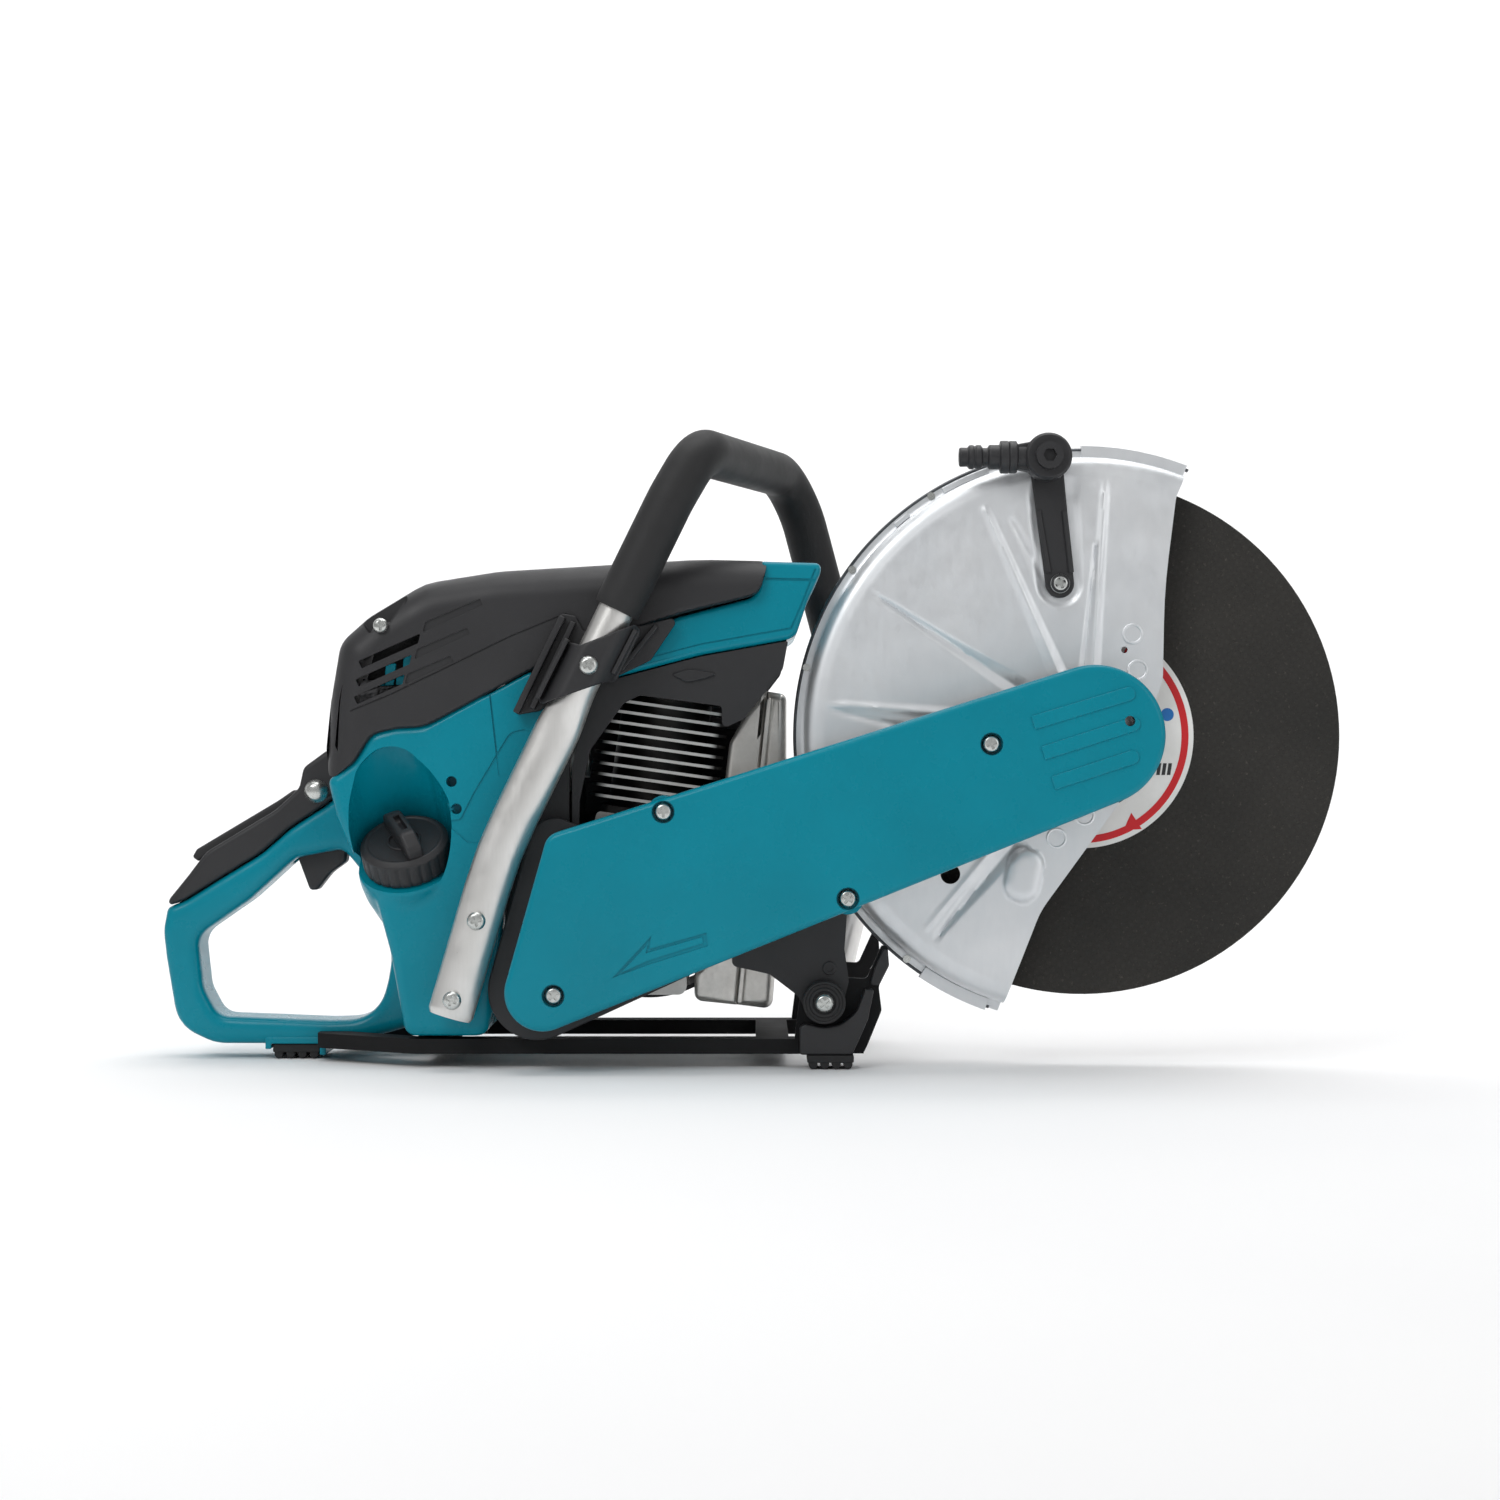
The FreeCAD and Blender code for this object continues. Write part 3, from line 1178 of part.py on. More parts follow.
def make_controls():
    """Choke, stop switch and decompression valve on the far side."""
    far = D.body_far_y
    lever = rod((-214, far + 0.3, 196), (0, 1, 0), 9, 5)
    blade = Part.makeBox(30, 4, 9, Vector(-244, float(far) + 1.3, 191.5))
    plain("choke_lever", lever.fuse(blade))
    half = D.handle_half
    switch = Part.makeBox(12, 4, 9, Vector(-303, float(half) + 0.3, 186))
    plain("stop_switch", switch.fuse(Part.makeBox(3, 6, 9, Vector(-299, float(half) + 0.3, 186))))
    hood_far = D.body_far_y - 4
    button = rod((22, hood_far - 16, 318), (0, 1, 0), 7, 22)
    plain("decompression_valve", button.fuse(rod((22, hood_far - 40, 318), (0, 1, 0), 3, 25)))


def make_root_screws():
    """Every screw of the fixed parts, and the domed pivot screw of the rear handle."""
    cover_seat = D.cover_near_y + 6
    tube_seat = D.near_leg_y - D.tube_radius
    places = [((x, cover_seat, z), 35) for x, z in COVER_SCREWS]
    places.append(((-245.7, D.body_near_y - 2.05, 294.8), 3))
    places.append(((FRONT_MOUNT[0], -92, FRONT_MOUNT[1]), 18))
    shapes = [screw_shape(place, (0, 1, 0), length) for place, length in places]
    for x, z in ((-179.4, 99.9), (-195.3, 47.8)):
        shapes.append(screw_shape((x, tube_seat - 0.3, z), (0, 1, 0), 0.3))
    shapes.append(screw_shape((-105.5, tube_seat - 3.15, 267.4), (0, 1, 0), 0.05))
    dome = Part.makeSphere(9, Vector(-297.7, -float(D.handle_half) + 3, 183.8))
    dome = dome.common(rod((-297.7, -D.handle_half - 8, 183.8), (0, 1, 0), 8.2, 7.95))
    shapes.append(dome)
    plain("housing_screws", Part.makeCompound(shapes))


make_wheel()
make_flanges()
make_spindle()
make_pulleys()
make_belt_cover()
make_arm()
make_guard()
make_water_kit()
make_crankcase()
make_crank()
make_piston()
make_cylinder()
make_muffler()
make_flywheel()
make_starter()
make_tank()
make_cap()
make_handle_cover()
make_top_cover()
make_hood()
make_shroud()
make_carburettor()
make_front_handle()
make_saddle()
make_base()
make_controls()
make_root_screws()

# ---------------------------------------------------------------- test and write
doc.recompute()
for obj in doc.Objects:
    if {"Invalid", "Error"} & set(obj.State):
        raise RuntimeError(f"{obj.Label} failed: {obj.State}")
os.makedirs("parts", exist_ok=True)
for obj in pieces:
    if obj.Shape.isNull() or not obj.Shape.isValid():
        raise RuntimeError(f"{obj.Label} has no valid shape")
    obj.Shape.exportStep(f"parts/{obj.Label}.step")
print(f"{len(pieces)} nodes written")
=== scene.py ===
import json
import math
import bmesh
import bpy
import numpy as np
from mathutils import Matrix, Vector, geometry


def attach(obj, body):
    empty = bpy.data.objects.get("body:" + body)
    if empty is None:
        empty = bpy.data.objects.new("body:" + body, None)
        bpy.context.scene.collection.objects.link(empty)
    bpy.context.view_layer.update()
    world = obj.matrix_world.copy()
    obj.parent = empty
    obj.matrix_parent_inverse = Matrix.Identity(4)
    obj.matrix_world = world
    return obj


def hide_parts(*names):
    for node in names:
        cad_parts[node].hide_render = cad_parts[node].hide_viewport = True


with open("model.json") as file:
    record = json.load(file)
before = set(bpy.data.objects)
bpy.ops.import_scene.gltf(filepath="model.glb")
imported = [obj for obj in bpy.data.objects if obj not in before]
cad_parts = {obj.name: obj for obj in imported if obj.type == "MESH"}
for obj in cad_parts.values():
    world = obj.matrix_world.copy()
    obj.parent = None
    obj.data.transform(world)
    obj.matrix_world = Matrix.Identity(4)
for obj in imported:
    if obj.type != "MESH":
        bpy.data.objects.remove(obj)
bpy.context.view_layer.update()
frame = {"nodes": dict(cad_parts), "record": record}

# Everything below is built in millimetres and scaled to metres as it is put in place.
MM = 0.001
ALONG_Y = (0, 1, 0)
SHARP = 0.01                # the edge rounding of a cutting tool
NEAR, FAR = -80.0, 84.0     # the two flanks of the tank, in Y
SPINDLE = (224.6, 221.5)    # the wheel's axis, in X and Z
# the screws of the belt cover, in X and Z
SCREWS = ((157.2, 215.9), (63.7, 115.2), (-56.5, 171.7), (-128.0, 52.0))


# ---------------------------------------------------------------- outlines
def rounded(points, turn=0.2, closed=True):
    """Corner points (x, z, radius) as a line whose corners are arcs."""
    spots = [Vector(p[:2]) for p in points]
    line = []
    count = len(points)
    for i, point in enumerate(points):
        radius = point[2] if len(point) > 2 else 0
        if radius <= 0 or (not closed and i in (0, count - 1)):
            line.append(tuple(spots[i]))
            continue
        here = spots[i]
        back, ahead = spots[i - 1] - here, spots[(i + 1) % count] - here
        room = 0.98 * min(back.length, ahead.length)
        back.normalize()
        ahead.normalize()
        half = math.acos(max(-1, min(1, back.dot(ahead)))) / 2
        if half > 1.56:
            line.append(tuple(here))
            continue
        cut = radius / math.tan(half)
        if cut > room:
            cut, radius = room, room * math.tan(half)
        centre = here + (back + ahead).normalized() * (radius / math.sin(half))
        first, last = here + back * cut - centre, here + ahead * cut - centre
        begin = math.atan2(first.y, first.x)
        sweep = math.atan2(last.y, last.x) - begin
        sweep = (sweep + math.pi) % (2 * math.pi) - math.pi
        steps = max(1, math.ceil(abs(sweep) / turn))
        for k in range(steps + 1):
            angle = begin + sweep * k / steps
            line.append((centre.x + radius * math.cos(angle), centre.y + radius * math.sin(angle)))
    return line


def circle(x, z, radius, sides=48):
    """A regular outline round a point."""
    return [(x + radius * math.cos(2 * math.pi * k / sides),
             z + radius * math.sin(2 * math.pi * k / sides)) for k in range(sides)]


def hull(*rounds):
    """The tight loop round a few circles (x, z, radius)."""
    dots = [Vector(p) for x, z, r in rounds for p in circle(x, z, r, 120)]
    return [tuple(dots[i]) for i in geometry.convex_hull_2d(dots)]


def counter(line):
    """The same outline, anticlockwise."""
    area = sum(a[0] * b[1] - b[0] * a[1] for a, b in zip(line, line[1:] + line[:1]))
    return line if area > 0 else line[::-1]


def thinned(line, least=0.15):
    """The same outline, without points closer together than the least distance."""
    kept = []
    for point in line:
        if not kept or math.dist(point, kept[-1]) > least:
            kept.append(point)
    if math.dist(kept[0], kept[-1]) < least:
        kept.pop()
    return kept


# ---------------------------------------------------------------- meshes
def show(name, mesh):
    """Puts a mesh into the scene."""
    obj = bpy.data.objects.new(name, mesh)
    bpy.context.scene.collection.objects.link(obj)
    return obj


def built(name, bm):
    """An object made of a finished bmesh."""
    mesh = bpy.data.meshes.new(name)
    bm.to_mesh(mesh)
    bm.free()
    return show(name, mesh)


def modify(obj, kind, **values):
    """Gives the object one modifier and applies it."""
    modifier = obj.modifiers.new(kind.lower(), kind)
    for key, value in values.items():
        setattr(modifier, key, value)
    bpy.context.view_layer.update()
    graph = bpy.context.evaluated_depsgraph_get()
    mesh = bpy.data.meshes.new_from_object(obj.evaluated_get(graph), depsgraph=graph)
    old = obj.data
    obj.modifiers.clear()
    obj.data = mesh
    if old.users == 0:
        bpy.data.meshes.remove(old)


def joined(name, *objects):
    """Several objects as one; the parts are removed."""
    bm = bmesh.new()
    for obj in objects:
        bm.from_mesh(obj.data)
        bpy.data.objects.remove(obj)
    return built(name, bm)


def carve(obj, *tools, how="DIFFERENCE"):
    """Cuts each tool from the object (or keeps only what they share) and removes the tool."""
    for tool in tools:
        modify(obj, "BOOLEAN", object=tool, operation=how, solver="MANIFOLD")
        bpy.data.objects.remove(tool)
    return obj


def plate(name, outline, near, far, edge=1.0, holes=(), steps=3):
    """A flat piece with rounded edges: the outline is in X and Z, the thickness along Y."""
    curve = bpy.data.curves.new(name, "CURVE")
    curve.dimensions = "2D"
    curve.fill_mode = "BOTH"
    curve.extrude = (far - near) / 2 - edge
    curve.bevel_depth = edge
    curve.bevel_resolution = steps - 1
    curve.offset = -edge
    loops = [counter(thinned(outline))] + [counter(thinned(h))[::-1] for h in holes]
    for loop in loops:
        spline = curve.splines.new("POLY")
        spline.points.add(len(loop) - 1)
        for point, (x, z) in zip(spline.points, loop):
            point.co = (x, z, 0, 1)
        spline.use_cyclic_u = True
    flat = show(name, curve)
    bpy.context.view_layer.update()
    mesh = bpy.data.meshes.new_from_object(flat)
    bpy.data.objects.remove(flat)
    mesh.transform(Matrix.Translation((0, (near + far) / 2, 0)) @ Matrix.Rotation(math.pi / 2, 4, "X"))
    bm = bmesh.new()
    bm.from_mesh(mesh)
    bmesh.ops.remove_doubles(bm, verts=bm.verts, dist=1e-4)
    bmesh.ops.recalc_face_normals(bm, faces=bm.faces)
    bm.to_mesh(mesh)
    bm.free()
    return show(name, mesh)


def cutter(name, outline, near, far, holes=()):
    """A sharp-edged plate, used as a cutting tool."""
    return plate(name, outline, near, far, SHARP, holes, steps=1)


def strip(name, start, end, half, near, far, edge, first=1.0, last=1.0):
    """A straight bar between two (x, z) points, its corners rounded by first and last."""
    a, b = Vector(start), Vector(end)
    run = (b - a).normalized()
    side = Vector((-run.y, run.x)) * half
    ends = ((a - side, first), (b - side, last), (b + side, last), (a + side, first))
    return plate(name, rounded([(*spot, radius) for spot, radius in ends]), near, far, edge)


def block(name, low, high):
    """A box between two corners, used as a cutting tool."""
    bm = bmesh.new()
    size = [b - a for a, b in zip(low, high)]
    middle = [(a + b) / 2 for a, b in zip(low, high)]
    bmesh.ops.create_cube(bm, size=1, matrix=Matrix.Translation(middle) @ Matrix.Diagonal((*size, 1)))
    return built(name, bm)


def facing(at, axis):
    """A matrix that takes Z to an axis, at a point."""
    return Matrix.Translation(at) @ Vector(axis).to_track_quat("Z", "Y").to_matrix().to_4x4()


def lathe(name, profile, at, axis, sides=64, turn=0.35):
    """Turns a profile of (radius, height, rounding) points about an axis."""
    line = rounded(profile, turn, closed=False)
    bm = bmesh.new()
    rings = []
    for radius, height in line:
        if radius < 1e-4:
            rings.append([bm.verts.new((0, 0, height))])
        else:
            rings.append([bm.verts.new((x, y, height)) for x, y in circle(0, 0, radius, sides)])
    pairs = list(zip(rings, rings[1:]))
    if len(rings[0]) > 1 and len(rings[-1]) > 1:
        pairs.append((rings[-1], rings[0]))
    for low, high in pairs:
        for k in range(sides):
            quad = [low[k % len(low)], low[(k + 1) % len(low)],
                    high[(k + 1) % len(high)], high[k % len(high)]]
            quad = list(dict.fromkeys(quad))
            if len(quad) > 2:
                bm.faces.new(quad)
    bmesh.ops.remove_doubles(bm, verts=bm.verts, dist=1e-4)
    bmesh.ops.recalc_face_normals(bm, faces=bm.faces)
    obj = built(name, bm)
    obj.data.transform(facing(at, axis))
    return obj


def peg(name, radius, low, high, at, axis, sides):
    """A plain cylinder from one height to another along an axis, used as a cutting tool."""
    return lathe(name, ((0, low), (radius, low), (radius, high), (0, high)), at, axis, sides)


def route(points, radii, turn=0.1):
    """A path of straight runs joined by tangent arcs, as closely spaced points."""
    spots = [Vector(p) for p in points]
    line = [spots[0]]
    for i, radius in enumerate(radii, 1):
        here = spots[i]
        back, ahead = (spots[i - 1] - here).normalized(), (spots[i + 1] - here).normalized()
        half = back.angle(ahead) / 2
        cut = radius / math.tan(half)
        centre = here + (back + ahead).normalized() * (radius / math.sin(half))
        first, last = here + back * cut - centre, here + ahead * cut - centre
        steps = max(2, math.ceil((math.pi - 2 * half) / turn))
        for k in range(steps + 1):
            line.append(centre + first.normalized().slerp(last.normalized(), k / steps) * radius)
    line.append(spots[-1])
    return line


def even(line, step):
    """The same path with points at even steps."""
    lengths = [0.0]
    for a, b in zip(line, line[1:]):
        lengths.append(lengths[-1] + (b - a).length)
    count = max(2, round(lengths[-1] / step))
    out, k = [], 0
    for i in range(count + 1):
        target = lengths[-1] * i / count
        while k < len(lengths) - 2 and lengths[k + 1] < target:
            k += 1
        span = max(1e-9, lengths[k + 1] - lengths[k])
        out.append(line[k].lerp(line[k + 1], (target - lengths[k]) / span))
    return out


def sweep(name, line, size, sides=40, up=(0, 1, 0)):
    """A tube along a path. size(i, count) gives its half width across and along 'up'."""
    bm = bmesh.new()
    side = Vector(up)
    rings = []
    for i, here in enumerate(line):
        ahead = (line[min(i + 1, len(line) - 1)] - line[max(i - 1, 0)]).normalized()
        side = (side - ahead * side.dot(ahead)).normalized()
        across = ahead.cross(side)
        wide, deep = size(i, len(line))
        ring = []
        for k in range(sides):
            angle = 2 * math.pi * k / sides
            ring.append(bm.verts.new(here + across * wide * math.cos(angle) + side * deep * math.sin(angle)))
        rings.append(ring)
    for low, high in zip(rings, rings[1:]):
        for k in range(sides):
            bm.faces.new((low[k], low[(k + 1) % sides], high[(k + 1) % sides], high[k]))
    bm.faces.new(rings[0][::-1])
    bm.faces.new(rings[-1])
    bmesh.ops.recalc_face_normals(bm, faces=bm.faces)
    return built(name, bm)


def melted(obj, voxel, passes):
    """Fuses overlapping closed shapes into one skin and softens the joins."""
    modify(obj, "REMESH", mode="VOXEL", voxel_size=voxel)
    modify(obj, "SMOOTH", factor=0.5, iterations=passes)
    return obj


def points_of(obj):
    flat = np.empty(len(obj.data.vertices) * 3, np.float32)
    obj.data.vertices.foreach_get("co", flat)
    return flat.reshape(-1, 3).astype(float)


def set_points(obj, points):
    obj.data.vertices.foreach_set("co", points.astype(np.float32).ravel())
    obj.data.update()


def away(points, line):
    """How far each (x, z) point is from an open line."""
    best = np.full(len(points), 1e9)
    for a, b in zip(line, line[1:]):
        a, b = np.array(a, float), np.array(b, float)
        run = b - a
        share = np.clip(((points - a) @ run) / max(run @ run, 1e-9), 0, 1)
        best = np.minimum(best, np.linalg.norm(points - a - share[:, None] * run, axis=1))
    return best


def shoulder(obj, line, radius, near, far):
    """Rounds the body off along one line of its outline only."""
    points = points_of(obj)
    depth = np.clip(away(points[:, (0, 2)], line), 0, radius)
    inset = radius - np.sqrt(np.maximum(radius ** 2 - (radius - depth) ** 2, 0))
    points[:, 1] = np.clip(points[:, 1], near + inset, far - inset)
    set_points(obj, points)


def put(obj, body, slot, *nodes, finish=None, angle=32, weighted=True):
    """Scales a finished piece to metres, shades it, gives it its material and lets it ride."""
    obj.data.transform(Matrix.Scale(MM, 4))
    obj.data.shade_smooth()
    obj.data.set_sharp_from_angle(angle=math.radians(angle))
    if weighted:
        modify(obj, "WEIGHTED_NORMAL", keep_sharp=True, weight=50)
    obj.data.materials.clear()
    obj.data.materials.append(finish or LOOKS[slot])
    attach(obj, body)
    if nodes:
        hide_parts(*nodes)


# ---------------------------------------------------------------- finishes
def linear(*levels):
    """An everyday 0 to 255 colour as the shader wants it."""
    return tuple(v / 12.92 if v <= 0.04045 else ((v + 0.055) / 1.055) ** 2.4
                 for v in (level / 255 for level in levels)) + (1.0,)


class Nodes:
    """Short calls for building one node tree."""

    def __init__(self, name):
        self.material = bpy.data.materials.new(name)
        self.material.use_nodes = True
        self.tree = self.material.node_tree
        self.shader = self.tree.nodes["Principled BSDF"]
        self.place = self.add("ShaderNodeTexCoord").outputs["Object"]

    def add(self, kind, **values):
        node = self.tree.nodes.new(kind)
        for key, value in values.items():
            setattr(node, key, value)
        return node

    def link(self, start, end):
        self.tree.links.new(start, end)

    def stretched(self, scale, turn=(0, 0, 0)):
        node = self.add("ShaderNodeMapping")
        node.inputs["Scale"].default_value = scale
        node.inputs["Rotation"].default_value = turn
        self.link(self.place, node.inputs["Vector"])
        return node.outputs["Vector"]

    def noise(self, scale, detail=3.0, rough=0.55, place=None):
        node = self.add("ShaderNodeTexNoise")
        node.inputs["Scale"].default_value = scale
        node.inputs["Detail"].default_value = detail
        node.inputs["Roughness"].default_value = rough
        self.link(place or self.place, node.inputs["Vector"])
        return node.outputs["Fac"]

    def spots(self, scale):
        node = self.add("ShaderNodeTexVoronoi")
        node.inputs["Scale"].default_value = scale
        self.link(self.place, node.inputs["Vector"])
        return node.outputs["Distance"]

    def spread(self, value, low, high, start=0.0, end=1.0):
        node = self.add("ShaderNodeMapRange")
        for key, number in (("From Min", low), ("From Max", high), ("To Min", start), ("To Max", end)):
            node.inputs[key].default_value = number
        self.link(value, node.inputs["Value"])
        return node.outputs["Result"]

    def maths(self, how, one, two):
        node = self.add("ShaderNodeMath", operation=how)
        for socket, value in zip(node.inputs, (one, two)):
            if isinstance(value, (int, float)):
                socket.default_value = value
            else:
                self.link(value, socket)
        return node.outputs["Value"]

    def mix(self, share, one, two):
        node = self.add("ShaderNodeMix", data_type="RGBA")
        self.link(share, node.inputs["Factor"])
        for key, value in (("A", one), ("B", two)):
            socket = [s for s in node.inputs if s.name == key and s.type == "RGBA"][0]
            if isinstance(value, tuple):
                socket.default_value = value
            else:
                self.link(value, socket)
        return [s for s in node.outputs if s.type == "RGBA"][0]

    def bump(self, height, strength, distance, before=None):
        node = self.add("ShaderNodeBump")
        node.inputs["Strength"].default_value = strength
        node.inputs["Distance"].default_value = distance
        self.link(height, node.inputs["Height"])
        if before:
            self.link(before, node.inputs["Normal"])
        return node.outputs["Normal"]

    def done(self, colour, rough, normal=None, **fixed):
        self.link(colour, self.shader.inputs["Base Color"])
        self.link(rough, self.shader.inputs["Roughness"])
        if normal:
            self.link(normal, self.shader.inputs["Normal"])
        for key, value in fixed.items():
            self.shader.inputs[key.replace("_", " ")].default_value = value
        return self.material


def moulded(name, base, tint, rough, grain, depth, **fixed):
    """Moulded plastic or rubber: faint mottling, fine grain, a rub mark here and there."""
    n = Nodes(name)
    cloud = n.noise(14, 4)
    fine = n.noise(grain, 2, 0.5)
    colour = n.mix(n.spread(cloud, 0.3, 0.7, 0, 0.8), base, tint)
    dust = n.noise(95, 6, 0.7)
    paler = tuple(min(1, 1.25 * c + 0.006) for c in tint[:3]) + (1.0,)
    colour = n.mix(n.spread(dust, 0.56, 0.8, 0, 0.28), colour, paler)
    shine = n.spread(n.noise(34, 5, 0.65), 0.3, 0.75, rough - 0.05, rough + 0.09)
    normal = n.bump(fine, 0.35, depth)
    normal = n.bump(n.noise(9, 2), 0.08, 0.002, normal)
    return n.done(colour, shine, normal, **fixed)


def metallic(name, base, tint, rough, grain, depth, metal=1.0, stretch=(1, 1, 1), **fixed):
    """Bare or plated metal with handling marks."""
    n = Nodes(name)
    cloud = n.noise(18, 4)
    brushed = n.noise(grain, 3, 0.6, n.stretched(stretch))
    colour = n.mix(n.spread(cloud, 0.32, 0.7), base, tint)
    colour = n.mix(n.spread(brushed, 0.35, 0.75, 0, 0.35), colour, tint)
    shine = n.maths("ADD", n.spread(n.noise(45, 6, 0.7), 0.3, 0.75, rough - 0.06, rough + 0.1),
                    n.spread(brushed, 0.3, 0.7, -0.03, 0.05))
    normal = n.bump(brushed, 0.25, depth)
    return n.done(colour, shine, normal, Metallic=metal, **fixed)


def abrasive():
    """Resin-bonded grit over a glass-fibre net."""
    n = Nodes("abrasive_grit")
    net_a = n.add("ShaderNodeTexWave", wave_type="BANDS", bands_direction="X")
    net_b = n.add("ShaderNodeTexWave", wave_type="BANDS", bands_direction="Z")
    turned = n.stretched((1, 1, 1), (0, 0.6, 0))
    for net in (net_a, net_b):
        net.inputs["Scale"].default_value = 62
        net.inputs["Distortion"].default_value = 1.4
        net.inputs["Detail"].default_value = 2
        n.link(turned, net.inputs["Vector"])
    weave = n.maths("MULTIPLY", net_a.outputs["Fac"], net_b.outputs["Fac"])
    grit = n.spots(620)
    coarse = n.noise(420, 5, 0.75)
    colour = n.mix(n.spread(n.noise(12, 5), 0.3, 0.72), linear(44, 43, 41), linear(55, 53, 50))
    colour = n.mix(n.spread(coarse, 0.58, 0.74, 0, 0.75), colour, linear(96, 92, 86))
    colour = n.mix(n.spread(grit, 0.0, 0.35, 0.55, 0), colour, linear(22, 21, 20))
    colour = n.mix(n.spread(weave, 0.2, 0.9, 0.22, 0), colour, linear(30, 29, 28))
    height = n.maths("ADD", coarse, n.maths("MULTIPLY", weave, 0.35))
    normal = n.bump(height, 0.75, 0.0006)
    return n.done(colour, n.spread(coarse, 0.3, 0.75, 0.72, 0.95), normal, Specular_IOR_Level=0.35)


def finned_alloy_painted_light():
    """Cast cooling fins: painted shade between them, a painted highlight along their outer edges."""
    n = Nodes("finned_alloy_painted_light")
    split = n.add("ShaderNodeSeparateXYZ")
    n.link(n.place, split.inputs["Vector"])
    side = n.maths("ABSOLUTE", split.outputs["Y"], 0.0)
    # painted light: past 38.5 to 41.2 mm either side in Y the fin edges take a light painted highlight
    # colour, and everything inside them takes a dark painted shade colour
    rim = n.spread(side, 0.0385, 0.0412)
    painted_highlight = n.mix(n.spread(n.noise(40, 4), 0.3, 0.7), linear(238, 238, 236), linear(214, 214, 211))
    painted_shade = n.mix(n.spread(n.noise(60, 4), 0.3, 0.7), linear(58, 57, 55), linear(40, 39, 38))
    return n.done(n.mix(rim, painted_shade, painted_highlight), n.spread(n.noise(90, 3), 0.3, 0.7, 0.4, 0.55),
                  n.bump(n.noise(800, 3), 0.2, 0.0002), Metallic=0.55)


def paper():
    n = Nodes("label_paper")
    colour = n.mix(n.spread(n.noise(30, 5), 0.35, 0.75), linear(244, 244, 242), linear(226, 226, 223))
    return n.done(colour, n.spread(n.noise(60, 3), 0.3, 0.7, 0.42, 0.56),
                  n.bump(n.noise(700, 3), 0.2, 0.0001))


TEAL, TEAL_DARK = linear(0, 134, 154), linear(0, 126, 145)
LOOKS = {
    "teal_plastic": moulded("teal_moulded", TEAL, TEAL_DARK, 0.27, 1500, 0.00006,
                            Coat_Weight=0.1, Coat_Roughness=0.1, Specular_IOR_Level=0.17),
    "black_plastic": moulded("black_moulded", linear(44, 44, 46), linear(38, 38, 40), 0.46, 1300, 0.00018,
                             Specular_IOR_Level=0.42),
    "black_rubber": moulded("black_soft_rubber", linear(40, 40, 41), linear(33, 33, 34), 0.6, 900, 0.00025,
                            Specular_IOR_Level=0.35),
    "abrasive": abrasive(),
    "guard_steel": metallic("pressed_guard_steel", linear(232, 234, 236), linear(222, 225, 228), 0.42, 260,
                            0.00004, 0.8, (1, 1, 0.25)),
    "tube_metal": metallic("satin_tube", linear(232, 231, 229), linear(216, 215, 212), 0.34, 700, 0.00008,
                           0.92, (1, 1, 0.08)),
    "cast_alloy": metallic("cast_alloy_skin", linear(208, 208, 206), linear(186, 186, 184), 0.42, 820,
                           0.0003, 0.85),
    "steel": metallic("machined_steel", linear(186, 187, 189), linear(160, 161, 163), 0.3, 1400, 0.0001),
    "zinc_screw": metallic("zinc_plating", linear(214, 216, 214), linear(190, 193, 190), 0.26, 900,
                           0.0001, 0.95),
    "muffler_steel": metallic("muffler_plate", linear(233, 231, 227), linear(196, 193, 188), 0.33, 300,
                              0.00012, 0.75),
    "filter_foam": moulded("filter_foam_pad", linear(26, 27, 28), linear(20, 20, 21), 0.85, 300, 0.0015),
    "copper_epoxy": moulded("coil_epoxy", linear(58, 30, 22), linear(44, 24, 18), 0.4, 500, 0.0003),
    "ceramic": moulded("glazed_ceramic", linear(236, 234, 228), linear(222, 220, 213), 0.2, 800, 0.00005),
    "blue_plastic": moulded("blue_moulded", linear(20, 70, 150), linear(16, 58, 130), 0.35, 1200, 0.0001),
}


# ---------------------------------------------------------------- teal tank and rear handle
CAP_SEAT = (-230, -58, 136)
CAP_AXIS = (-0.1, -0.57, 0.82)
SCOOP = 34.4
LOOP_HALF = 22


